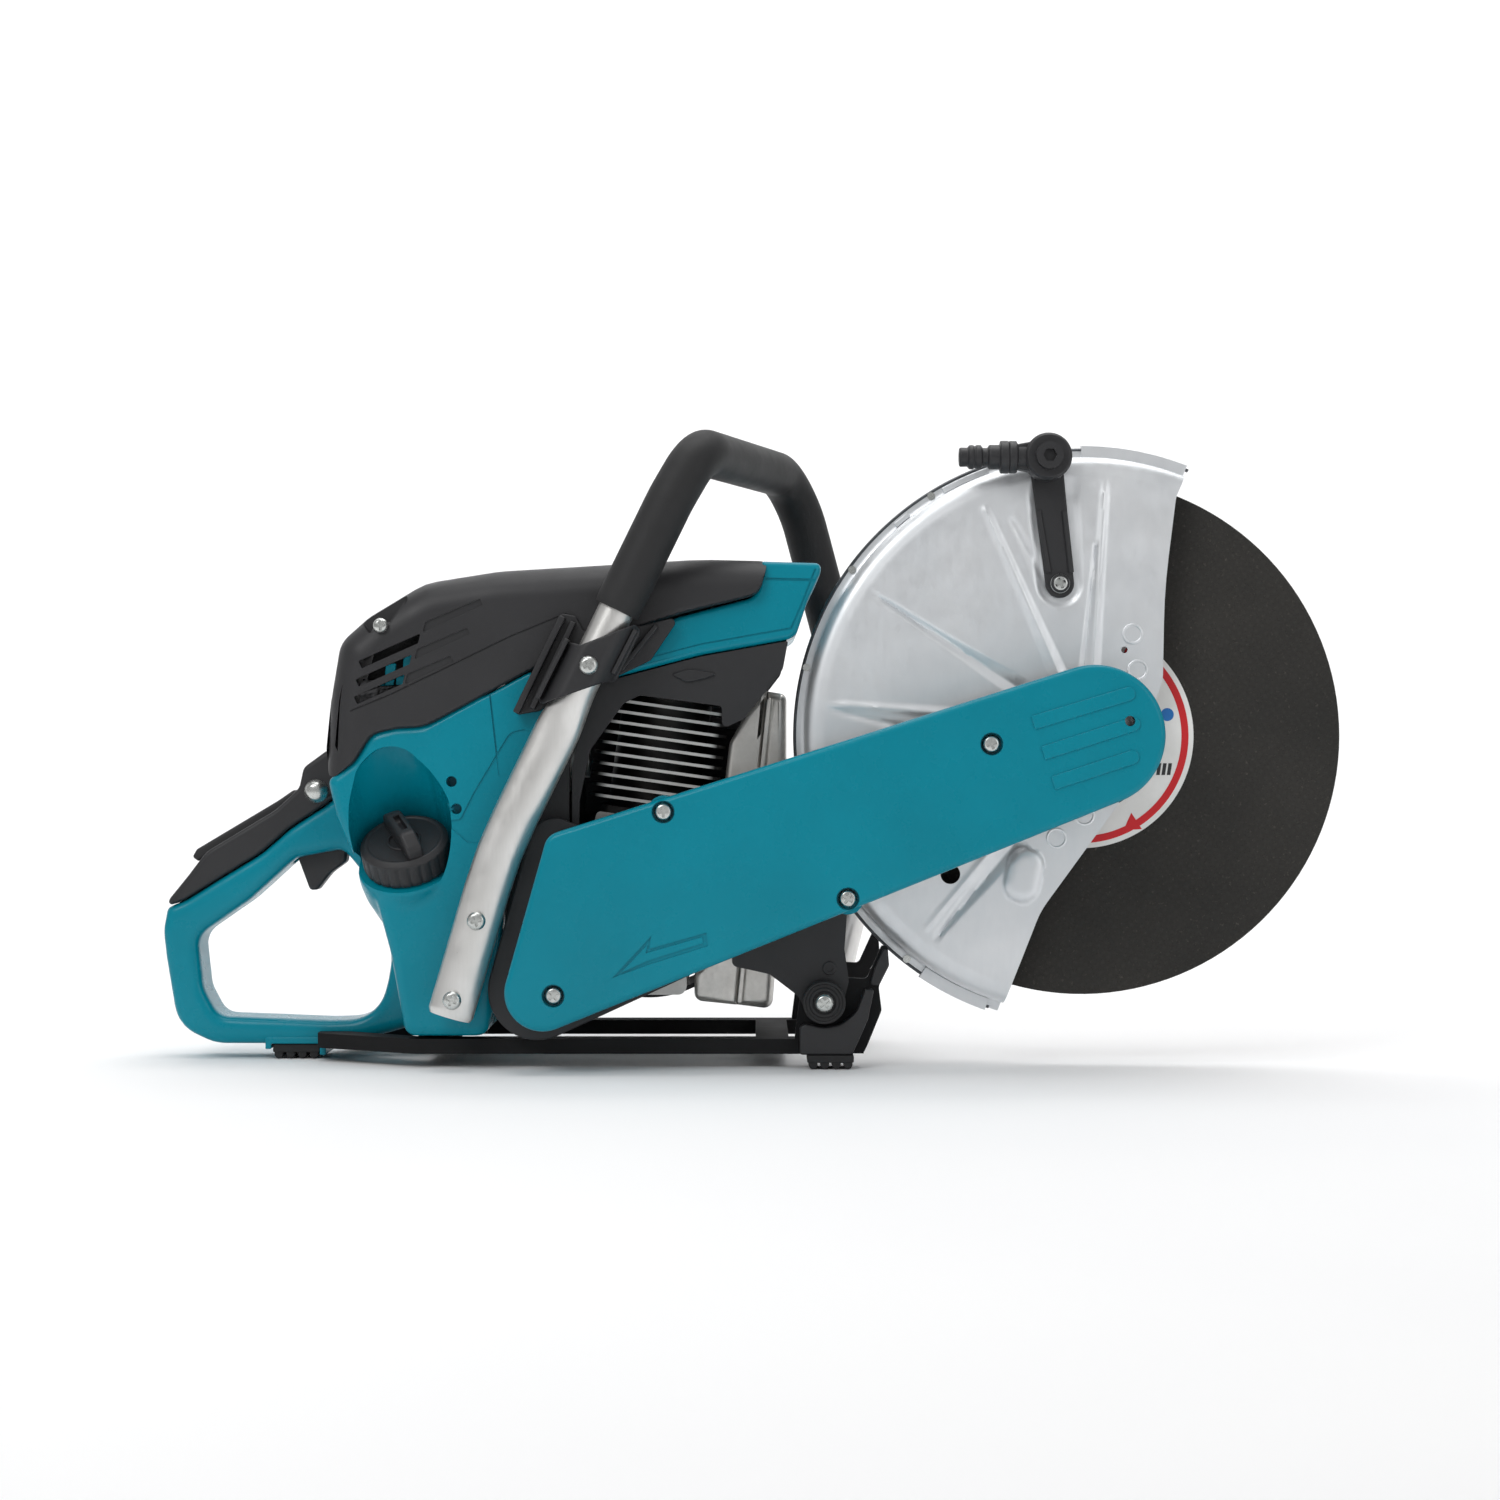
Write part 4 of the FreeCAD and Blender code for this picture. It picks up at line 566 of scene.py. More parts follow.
def tank():
    housing = rounded((
        (-282, 192, 5), (-264.5, 205, 9), (-253, 224, 12), (-237.5, 228, 14), (-217, 229, 24), (-173, 253, 5),
        (-166, 195, 30), (-166, 60, 30), (-176, 21, 8), (-230, 21, 8), (-240, 76, 60),
        (-252, 120, 40), (-266, 144, 24), (-276, 166, 24)))
    side = rounded((
        (-218, 226, 4), (-147, 264.5, 4), (-132, 262, 3), (-128, 250, 6), (-145, 200, 20), (-163, 150, 20),
        (-166, 60, 10), (-180, 60, 4), (-190, 150, 4)))
    grip = rounded((
        (-401, 103.6, 3), (-404, 88, 25), (-402, 70, 40), (-394, 22, 26), (-368, 10, 30),
        (-300, 10, 10), (-262, 14, 8), (-232, 22, 8), (-232, 60, 8), (-250, 140, 6),
        (-276, 186, 3), (-295, 172, 30), (-316, 158.5, 30), (-336, 141, 40), (-364, 124, 60),
        (-388, 109, 20)))
    opening = rounded((
        (-380, 84, 14), (-376, 48, 14), (-366, 29, 12), (-290, 26, 30), (-256, 27, 26),
        (-244.5, 72, 60), (-262, 122, 40), (-280, 144, 8), (-312, 138, 12), (-344, 109, 40)))
    body = plate("tank_block", housing, NEAR, FAR, 6.5, steps=5)
    panel = plate("tank_side", side, NEAR, NEAR + 9, 2, steps=3)
    loop = plate("tank_loop", grip, -LOOP_HALF, LOOP_HALF, 6, holes=(opening,), steps=4)
    seat = Vector(CAP_SEAT)
    collar = lathe("tank_collar", ((0, -74), (16, -74), (SCOOP, -14, 40), (SCOOP, 1, 2), (0, 1)),
                   seat, CAP_AXIS, 96)
    shell = melted(joined("tank_shell", body, panel, loop, collar), 1.7, 6)
    scoop = lathe("scoop", ((0, 0), (SCOOP, 0, 2), (SCOOP, 120), (0, 120)), seat, CAP_AXIS, 128)
    arch = cutter("scoop_arch", rounded((
        (-267, 110, 3), (-267.5, 176, 60), (-262, 200, 20), (-240.5, 223.5, 22), (-206, 192, 70),
        (-195.5, 165, 20), (-194, 110, 3)), 0.08), -140, -5)
    carve(scoop, arch, how="INTERSECT")
    carve(shell, scoop, peg("bore", 16, -45, 10, seat, CAP_AXIS, 48),
          block("trigger_slot", (-318, -11, 128), (-272, 11, 172)))
    holes = [peg("hole", radius, 0, 14, (x, NEAR - 2, z), ALONG_Y, 32)
             for x, z, radius in ((-198.9, 191, 3.6), (-203.6, 172.4, 4.6), (-195.6, 172.8, 3.6))]
    seam = cutter("seam", ((-174.4, 254), (-167.6, 195), (-166.4, 195), (-173.2, 254)),
                  NEAR - 2, NEAR + 1.4)
    step = cutter("step", rounded((
        (-201, 165, 1), (-193, 166, 3), (-184, 184, 20), (-160, 224, 10), (-150, 226), (-150, 150),
        (-188, 150, 4), (-201, 161.5, 1))), NEAR - 2, NEAR + 1.0)
    carve(shell, *holes, seam, step)
    put(shell, "machine", "teal_plastic", "tank_housing", angle=40)


def fuel_cap():
    disc = lathe("cap_disc", (
        (0, 1.4), (29.4, 1.4), (30, 4, 1), (30, 17.5, 2.5), (26, 20.6, 2), (24, 19.4, 1), (12, 19.0, 1),
        (0, 19.0)), (0, 0, 0), (0, 0, 1), 144)
    points = points_of(disc)
    radius = np.hypot(points[:, 0], points[:, 1])
    wave = np.cos(np.arctan2(points[:, 1], points[:, 0]) * 24)
    edge = (radius > 29) & (points[:, 2] < 17)
    points[edge, :2] *= (1 - 0.028 * np.clip(wave[edge], 0, 1) ** 2)[:, None]
    set_points(disc, points)
    bar = plate("cap_bar", rounded((
        (-25, 18), (-25, 27, 6), (-14, 34, 8), (14, 34, 8), (25, 27, 6), (25, 18))), -5.5, 5.5, 2.2)
    carve(bar, plate("cap_bar_cut", rounded(((-9, 36), (-9, 29, 3), (9, 29, 3), (9, 36))), -2.2, 2.2, 0.5))
    loop = [Vector((10.6 * math.cos(a), 10.6 * math.sin(a), 19.2)) for a in np.linspace(0, 2 * math.pi, 49)]
    ring = sweep("cap_ring", loop, lambda i, n: (1.0, 1.0), 10, up=(0, 0, 1))
    cap = joined("fuel_cap_knob", disc, bar, ring)
    seat = facing(CAP_SEAT, CAP_AXIS)
    outward = seat.to_3x3().inverted() @ Vector((0.35, -1, 0))
    cap.data.transform(seat @ Matrix.Rotation(math.atan2(outward.y, outward.x), 4, "Z"))
    put(cap, "filler_cap", "black_plastic", "fuel_cap", angle=38)


def rear_handle():
    cover = plate("handle_top", rounded((
        (-401, 104.2, 2), (-388, 109.6, 20), (-364, 124.6, 60), (-336, 141.6, 40), (-316, 159.1, 30),
        (-295, 172.6, 30), (-283, 181.6, 1), (-283.4, 192, 4), (-287, 212, 4), (-292, 211, 3),
        (-307, 200, 8), (-310, 186, 8), (-326, 171, 30), (-374, 142, 20), (-386, 126, 12), (-399, 110, 4))),
        -LOOP_HALF, LOOP_HALF, 3.2, steps=4)
    lock_slot = cutter("lock_slot", (
        (-395, 150), (-379, 127.6), (-322, 162), (-306, 178), (-312, 205), (-395, 172)), -8.6, 8.6)
    carve(cover, lock_slot, block("trigger_well", (-318, -11, 128), (-272, 11, 168)))
    put(cover, "machine", "black_plastic", "handle_cover")
    lever = plate("lock_lever_blade", rounded((
        (-382, 135, 2), (-386, 138, 2), (-383, 143.3, 3), (-326.6, 177, 30), (-315, 185, 4),
        (-309.5, 182, 3), (-313, 174, 3), (-326, 166.5, 20), (-372, 139.5, 10))), -8, 8, 1.8)
    put(lever, "lock_lever", "black_plastic", "throttle_lock")
    trigger = plate("trigger_blade", rounded((
        (-314, 140, 3), (-311, 132.5, 8), (-304.5, 115, 3), (-299, 115.3, 3), (-290, 127, 20),
        (-279.5, 134.6, 4), (-278.5, 143, 6), (-281, 156, 5), (-304, 153.3, 5))), -8.5, 8.5, 2.4, steps=4)
    put(trigger, "trigger", "black_plastic", "throttle_trigger")


# ---------------------------------------------------------------- top cover and hood
COVER_NEAR, COVER_FAR = NEAR - 2, FAR + 2
SLOPE = Vector((math.cos(math.radians(24)), math.sin(math.radians(24))))


def top_cover():
    outline = rounded((
        (-284, 212, 4), (-281.4, 245, 60), (-275, 284, 20), (-256, 301, 25), (-218, 324, 40),
        (-168, 332, 80), (-34, 340, 200), (12, 338.6, 4), (6.7, 316, 12), (-46, 303, 10),
        (-100, 285, 60), (-146.5, 265, 60), (-216.5, 227.5, 30), (-237, 226, 20),
        (-252, 222.5, 12), (-264, 203.5, 10), (-282, 190.5, 4)))
    cover = plate("top_cover_skin", outline, COVER_NEAR, COVER_FAR, 1.6)
    melted(cover, 1.9, 2)
    soft = rounded(((-284, 190), (-281.4, 245, 60), (-275, 284, 20), (-256, 301, 25), (-218, 324, 40),
                    (-168, 332, 80), (-34, 340, 200), (30, 339)), closed=False)
    shoulder(cover, soft, 20, COVER_NEAR, COVER_FAR)
    void = rounded((
        (-277, 215, 4), (-274, 246, 40), (-266, 278, 14), (-250, 291, 20), (-214, 313, 30), (-168, 322, 60),
        (-34, 330, 100), (0, 329, 3), (0, 318, 3), (-48, 308, 5), (-100, 290, 40), (-140, 262),
        (-200, 200), (-262, 180), (-272, 205)))
    carve(cover, cutter("cover_void", void, COVER_NEAR + 4, COVER_FAR - 4))
    up = Vector((-SLOPE.y, SLOPE.x)) * 2.7
    for low, high in ((COVER_NEAR, COVER_NEAR + 5), (COVER_FAR - 5, COVER_FAR)):
        for x, z, length in ((-259.5, 268.8, 41), (-261.5, 256.5, 37), (-262.5, 245, 33)):
            start = Vector((x, z))
            end = start + SLOPE * length
            slot = (start - up, end - up, end + up + Vector((4, 1.8)), start + up)
            carve(cover, cutter("slot", rounded([(*spot, 0.8) for spot in slot]), low, high))
    return cover


def vents(cover):
    """The shallow grooves that carry the slots on along the near side."""
    for x, z, length in ((-218, 293, 44), (-223.5, 275, 41), (-230, 258.5, 36)):
        tip = Vector((x, z)) + SLOPE * length
        carve(cover, plate("groove", rounded((
            (x, z - 3.2, 1), (tip.x, tip.y - 2.6, 1), (tip.x - 2, tip.y + 1.8, 1), (x + 2, z + 4.2, 1))),
            COVER_NEAR - 2, COVER_NEAR + 1.3, 0.4))


def cover_pieces():
    cover = top_cover()
    vents(cover)
    band = cutter("crease_cut", rounded((
        (-266, 238.5), (-240, 249.2, 20), (-205, 266, 60), (-160, 288, 60), (-122, 303.6, 20),
        (-122, 302.4, 20), (-160, 286.8, 60), (-205, 264.8, 60), (-240, 248, 20), (-266, 237.3))),
        COVER_NEAR - 2, COVER_NEAR + 1)
    notch = plate("screw_notch", rounded((
        (-254, 289.5, 2), (-240, 295.5, 3), (-228, 312, 6), (-236, 330), (-262, 330), (-262, 300))),
        NEAR - 8, NEAR + 12, 3)
    carve(cover, band, notch)
    put(cover, "machine", "black_plastic", "air_filter_cover", angle=36)
    bars = []
    for x, z in ((-249, 250), (-241, 262), (-234, 254), (-229, 269), (-222, 262), (-214, 279)):
        bars.append(plate("retainer_bar", rounded((
            (x - 3, z - 9, 1), (x + 3, z - 8, 1), (x + 5, z + 8, 1), (x - 2, z + 7, 1))),
            NEAR + 2.6, NEAR + 6, 0.6))
    put(joined("filter_retainer", *bars), "machine", "teal_plastic")


def hood():
    near, far = NEAR + 6, FAR - 4
    outline = rounded((
        (8, 338.2, 2), (48, 337, 4), (47, 330, 6), (38.6, 312, 30), (31, 289, 8), (26, 286, 6),
        (-33, 275.5, 40), (-98, 258.6, 3), (-99, 282, 3), (-48, 301, 10), (4, 314.5, 10)))
    cowl = plate("hood_skin", outline, near, far, 3.5, steps=4)
    void = rounded((
        (18, 333), (43, 332, 3), (34, 308, 20), (26, 291, 5), (20, 270), (-34, 262), (-96, 250),
        (-94, 280, 3), (-47, 297, 8), (11, 310, 6)))
    line = cutter("hood_line", rounded((
        (-100, 266), (-33, 283.2, 40), (27, 294), (34, 310, 30), (43, 333), (44.2, 333), (35.2, 309.6, 30),
        (28, 292.8), (-33, 282.2, 40), (-100, 265))), near - 2, near + 0.8)
    step = cutter("hood_step", ((6, 325.6), (46, 324.6), (46, 326.4), (6, 327.4)), near - 2, near + 1.1)
    carve(cowl, cutter("hood_void", void, near + 3.5, far - 3.5),
          peg("valve_hole", 7.2, 0, 10, (22, far - 6, 318), ALONG_Y, 48), line, step)
    put(cowl, "machine", "teal_plastic", "cylinder_hood")


# ---------------------------------------------------------------- belt cover
def belt_cover():
    """The moulded cover over the arm, open to the back, with its screw wells, arrow and ribs."""
    near, far = -126.0, -88.0
    outer = hull((-135, 53.7, 25), (*SPINDLE, 46), (-122.2, 147, 12))
    cover = plate("belt_cover_skin", outer, near, far, 4, steps=6)
    inner = hull((-135, 53.7, 22.4), (*SPINDLE, 43.4), (-122.2, 147, 9.4))
    tools = [cutter("cover_void", inner, near + 3, far + 2)]
    for x, z in SCREWS:
        tools.append(lathe("well", ((0, -1), (8.0, -1), (7.3, 1.0, 0.5), (7.3, 6), (0, 6)),
                           (x, near, z), ALONG_Y, 48))
        tools.append(peg("well_hole", 3.1, 5, 40, (x, near, z), ALONG_Y, 24))
    spy_hole = (3.4, -3, 9, (246.9, near, 230.8), ALONG_Y, 32)
    tools.append(peg("spy_hole", *spy_hole))
    arrow = [(-89.5, 63.8), (-64.2, 91.2), (-65.4, 82.8), (-28.4, 93.4), (-27.2, 84.6), (-64.8, 72.8)]
    arrow_inner = [(-83.6, 67.4), (-66.8, 85.3), (-67.7, 79.9), (-31.0, 90.4), (-30.5, 86.6), (-66.9, 75.0)]
    tools.append(cutter("arrow_groove", arrow, near - 1, near + 1.1, (arrow_inner,)))
    carve(cover, *tools)
    posts = [lathe("post", ((3.2, 6.2), (10.5, 6.2), (10.5, 37), (3.2, 37)), (x, near, z), ALONG_Y, 32)
             for x, z in SCREWS]
    ribs = []
    for low, high in (((183.8, 229.6), (250.1, 249.7)), ((190.3, 209.8), (253.4, 230.2)),
                      ((196.8, 190.3), (252.6, 208.7))):
        rib = strip("rib", low, high, 4.6, near - 1.15, near + 2, 0.7, 0.8, 4.4)
        ribs.append(carve(rib, peg("spy_hole", *spy_hole)))
    skin = joined("belt_cover_shell", cover, *posts, *ribs)
    put(skin, "machine", "teal_plastic", "belt_cover")


def backing_plates():
    """Black plates behind the belt cover and the fins, and a lug of the air guide."""
    backing = plate("arm_backing", hull((-141, 52.4, 33), (-130, 150, 17), (-20, 98, 24)), -87.4, -81.5, 1.2)
    put(backing, "machine", "black_plastic")
    guide = plate("far_air_guide", rounded(((-117, 168, 3), (-117, 227, 4), (14, 227, 4), (14, 168, 3))),
                  43.2, 45.4, 0.6)
    put(guide, "machine", "black_plastic")
    lug = plate("shroud_lug", rounded((
        (-53, 262.5, 1), (-40, 266.5, 14), (-21, 263, 1), (-30, 259.5, 8), (-42, 257, 5))), -73.8, -71, 0.9)
    put(lug, "machine", "black_plastic")


# ---------------------------------------------------------------- wheel guard
GUARD_FACE = -66.0
GUARD_EDGE = ((300, 412), (286, 382, 20), (278, 320, 400), (277, 259, 30), (249, 178, 60),
              (195, 104, 60), (166, 30), (166, 0), (460, 0), (460, 460), (310, 460))


def crease(x, z, start, end, wide_start, wide_end, height, sharp=1.0):
    """A pressed ridge (height below zero stands out toward the viewer) from start to end."""
    a, b = np.array(start, float), np.array(end, float)
    run = b - a
    share = ((x - a[0]) * run[0] + (z - a[1]) * run[1]) / (run @ run)
    held = np.clip(share, 0, 1)
    gap = np.hypot(x - a[0] - held * run[0], z - a[1] - held * run[1])
    wide = wide_start + (wide_end - wide_start) * held
    return height * np.clip(1 - gap / wide, 0, 1) ** sharp


def dome(x, z):
    """The gentle lift of the guard's face between hub and rim."""
    reach = np.hypot(x - SPINDLE[0], z - SPINDLE[1])
    return 1.2 * np.sin(np.clip((reach - 40) / 135, 0, 1) * math.pi)


# start, end, half width at each, height and sharpness of the pressed creases
CREASES = (
    ((157.9, 374), (209, 258), 3.0, 7.0, -2.3, 1.3), ((176, 366), (200, 322), 3.0, 9.0, 1.1, 1.2),
    ((238.5, 394), (229.5, 262), 3.0, 6.0, -2.2, 1.3), ((232, 350), (224, 262), 1.5, 4.5, 1.6, 1.2),
    ((78.6, 319.5), (180, 254), 1.5, 8.0, 2.6, 1.2), ((48, 243.5), (140, 236), 3.0, 5.0, -1.6, 1.3),
    ((50, 240), (126, 222), 2.0, 5.0, 1.2, 1.3), ((124.3, 85), (178, 150), 1.5, 8.5, 3.0, 1.2),
    ((118, 92), (166, 150), 2.0, 4.0, -1.0, 1.2))


def pressing(x, z):
    """How far the near face of the guard stands in or out at each point."""
    y = sum(crease(x, z, *shape) for shape in CREASES)
    # flat seat pressed for the foot of the water pipe
    gap = crease(x, z, (207.7, 323.5), (203, 392), 17.0, 19.0, 1.0)
    level = np.clip(gap * 3.2, 0, 1)
    y += 2.0 * level ** 2 * (3 - 2 * level)
    oval = crease(x, z, (182.2, 122), (185, 134), 12.5, 12.5, 1.0)
    y -= 3.6 * np.sqrt(np.clip(1 - (1 - np.clip(oval * 1.6, 0, 1)) ** 2, 0, 1))
    return y - dome(x, z)


def guard_near():
    """The near half of the guard: a turned skin with its pressings, cut to its outline."""
    profile = rounded(((27.3, GUARD_FACE), (175, GUARD_FACE, 3), (188, -63.5, 9), (188, -44.2, 1.5),
                       (194.6, -44.2)), 0.12, False)
    spaced = even([Vector((r, y, 0)) for r, y in profile], 1.7)
    sides = 560
    rows = []
    for spot in spaced:
        angle = np.arange(sides) * 2 * math.pi / sides
        x, z = SPINDLE[0] + spot.x * np.cos(angle), SPINDLE[1] + spot.x * np.sin(angle)
        fade = np.clip((176 - spot.x) / 14, 0, 1) * np.clip((spot.x - 30) / 8, 0, 1)
        rows.append(np.stack([x, spot.y + pressing(x, z) * fade, z], axis=1))
    points = np.concatenate(rows)
    faces = []
    for i in range(len(spaced) - 1):
        for k in range(sides):
            faces.append((i * sides + k, i * sides + (k + 1) % sides,
                          (i + 1) * sides + (k + 1) % sides, (i + 1) * sides + k))
    mesh = bpy.data.meshes.new("guard_near_plate")
    mesh.from_pydata([tuple(p) for p in points], [], faces)
    near_half = show("guard_near_plate", mesh)
    bm = bmesh.new()
    bm.from_mesh(mesh)
    bmesh.ops.recalc_face_normals(bm, faces=bm.faces)
    bm.normal_update()
    probe = min(bm.faces, key=lambda f: (f.calc_center_median() - Vector((120, -66, 221))).length)
    if probe.normal.y > 0:
        bmesh.ops.reverse_faces(bm, faces=bm.faces)
    bm.to_mesh(mesh)
    bm.free()
    modify(near_half, "SOLIDIFY", thickness=1.9, offset=-1)
    carve(near_half, cutter("guard_cut", rounded(GUARD_EDGE, 0.05), -90, -30),
          peg("guard_hole", 6.6, 0, 20, (134.4, -75, 128.7), ALONG_Y, 40),
          peg("guard_dot", 2.2, 0, 20, (251.2, -75, 279.2), ALONG_Y, 24))
    put(near_half, "guard", "guard_steel", "guard_near_half", angle=50, weighted=False)


def guard_pressings():
    """Small raised rings, the rolled edge and the flanges of the guard."""
    rings = []
    for x, z, radius in ((256.6, 289.9, 6.2), (260, 265.7, 6.2), (205.6, 152.9, 6.2), (224.4, 168.3, 6.2)):
        face = GUARD_FACE - float(dome(x, z))
        rings.append(sweep("ring", [Vector((x + radius * math.cos(a), face, z + radius * math.sin(a)))
                                    for a in np.linspace(0, 2 * math.pi, 41)], lambda i, n: (0.9, 0.7), 12))
    # the rolled edge along the joint of the two halves
    edge = []
    for degrees in np.arange(68, 252, 0.8):
        angle = math.radians(degrees)
        edge.append(Vector((SPINDLE[0] + 194.2 * math.cos(angle), -42.8,
                            SPINDLE[1] + 194.2 * math.sin(angle))))
    rolled = sweep("guard_rolled_edge", edge, lambda i, n: (1.2, 2.4), 14)
    # the rolled edge gets a darker steel than the guard: this is painted shade along the lip of the joint
    put(rolled, "guard", "guard_steel", finish=metallic(
        "painted_shade_edge_steel", linear(104, 107, 111), linear(84, 87, 90), 0.4, 260, 0.00006, 0.9))
    # short flanges: at both tips, and where the far half folds over the joint
    for first, last, reach, low, high in ((68.6, 90, 197.0, -46.5, -41), (109.5, 119.5, 192.6, -50, -43),
                                          (128, 131.5, 192.0, -50, -43), (236, 250.6, 197.0, -46.5, -41)):
        span = np.radians(np.linspace(first, last, max(5, int(last - first) + 1)))
        ring = [(SPINDLE[0] + reach * math.cos(a), SPINDLE[1] + reach * math.sin(a)) for a in span]
        ring += [(SPINDLE[0] + 188.6 * math.cos(a), SPINDLE[1] + 188.6 * math.sin(a)) for a in span[::-1]]
        rings.append(plate("flange", ring, low, high, 0.5))
    put(joined("guard_pressings", *rings), "guard", "guard_steel")


# ---------------------------------------------------------------- front handle
def handle_line():
    near, far = -99.0, 108.0
    return route((
        (-198, near, 36), (-166, near, 145), (-52, near, 378), (-34, near + 8, 410),
        (24, far - 10, 412), (38, far, 384), (76, far, 240), (80, far, 120), (62, far, 46)),
        (300, 60, 26, 30, 60, 150, 60))


def front_handle():
    line = even(handle_line(), 3.0)
    grip_start = min(range(len(line)), key=lambda i: (line[i] - Vector((-88, -99, 304))).length)
    grip_end = min(range(len(line)), key=lambda i: (line[i] - Vector((64, 108, 286))).length)

    def bare(i, count):
        round_part = min(1, max(0, (line[i].z - 222) / 34)) if line[i].y < 0 else 1
        round_part = round_part ** 2 * (3 - 2 * round_part)
        end = 1 if 0 < i < count - 1 else 0.9
        return (15.2 - 3.1 * round_part) * end, (9.5 + 2.6 * round_part) * end

    tube = sweep("handle_tube", line, bare, 48)
    put(tube, "machine", "tube_metal", "front_handle_tube", angle=50)
    sleeve = line[grip_start:grip_end + 1]

    def soft(i, count):
        near_end = min(i, count - 1 - i)
        swell = 15.8 if near_end > 1 else (15.0, 15.6)[near_end]
        return swell, swell

    grip = sweep("handle_grip", sleeve, soft, 56)
    put(grip, "machine", "black_rubber", "front_handle_grip", angle=50)


def saddle():
    base = plate("saddle_plate", rounded((
        (-158.6, 234.5, 3), (-125.5, 303, 3), (-115.6, 301, 3), (-110, 290, 4), (-72.7, 294.6, 4),
        (-46, 301, 3), (-66, 271.5, 4), (-96, 257, 6), (-125.5, 251.6, 6), (-139, 238, 4))), -85.5, -82.3, 1)
    ribs = []
    for start, end, half, rise in (
            ((-155, 236.5), (-124, 300.5), 2.2, 9), ((-144.5, 239.5), (-117, 297), 2.0, 6),
            ((-101, 260), (-78, 292), 1.8, 7), ((-86, 265), (-62, 294.5), 1.8, 5)):
        ribs.append(strip("saddle_rib", start, end, half, -84.5 - rise, -84, 0.9))
    strap = plate("saddle_strap", rounded((
        (-142, 240, 3), (-122, 284, 3), (-110.6, 281, 3), (-75, 295, 3), (-71.5, 290, 3), (-88, 257, 3),
        (-96, 256, 3))), -115.1, -112.4, 1.2)
    melted(strap, 1.0, 2)
    points = points_of(strap)
    gap = away(points[:, (0, 2)], [(-166, 145), (-52, 378)])
    points[:, 1] += 0.075 * np.clip(gap - 5, 0, 14) ** 2
    set_points(strap, points)
    for start, end in (((-139.5, 246), (-120, 285)), ((-90, 262), (-75, 291))):
        ribs.append(strip("strap_wall", start, end, 1.6, -108.5, -84, 0.8))
    whole = joined("saddle_bracket", base, strap, *ribs)
    put(whole, "machine", "black_plastic", "handle_saddle")


# ---------------------------------------------------------------- water kit
def water_kit():
    face = GUARD_FACE
    bracket = plate("water_strip", hull((207.7, 323.5, 9.6), (198.2, 407, 11.2)), face - 3, face + 0.6, 1.2)
    walls = []
    for side in (-1, 1):
        line = [Vector((207.7 + side * 7.4, face - 3, 331)), Vector((202.0 + side * 8.6, face - 3, 372))]
        walls.append(sweep("strip_bead", even(line, 4), lambda i, n: (2.0, 1.8), 14))
    put(joined("water_strip_body", bracket, *walls), "guard", "black_plastic", "water_pipe_bracket")
    put(screw_head(207.7, face - 2.9, 323.5, 25, 6.6, 4.6), "guard", "zinc_screw")
    hub = Vector((198.2, face - 14, 407))
    ring = lathe("banjo_ring", (
        (4.1, -10.6), (14, -10.6, 1), (15.6, -8.5, 1), (15.6, 8.5, 1), (14, 10.6, 1), (4.1, 10.6)),
        hub, ALONG_Y, 72)
    neck = lathe("banjo_neck", ((0, 6), (8.8, 6), (8.8, 20, 1), (10.8, 21, 1), (10.8, 26, 1), (0, 26)),
                 hub, (-1, 0, 0), 48)
    flat = plate("banjo_web", hull((hub.x, hub.z, 12), (hub.x - 18, hub.z, 8.6)), hub.y - 6, hub.y + 6, 1.5)
    banjo = joined("water_banjo_body", ring, neck, flat)
    put(banjo, BODY_OF["water_banjo"], "black_plastic", "water_banjo")
    nipple = lathe("water_nipple_body", (
        (3.5, 0), (10.9, 0, 0.8), (10.9, 5.6, 0.8), (8.2, 6.2, 0.5), (8.2, 13, 1.2), (6.2, 14.2, 0.8),
        (6.2, 17.4, 0.8), (8.1, 18.6, 1), (8.1, 21.6, 1), (7.2, 22.6, 0.6), (8.1, 23.8, 1), (8.1, 26.2, 1.4),
        (6.3, 27.6, 0.8), (6.5, 32.2, 1.2), (5.6, 33, 0.5), (3.5, 33)),
        hub + Vector((-26, 0, 0)), (-1, 0, 0), 64)
    put(nipple, BODY_OF["water_nipple"], "black_plastic", "water_nipple")


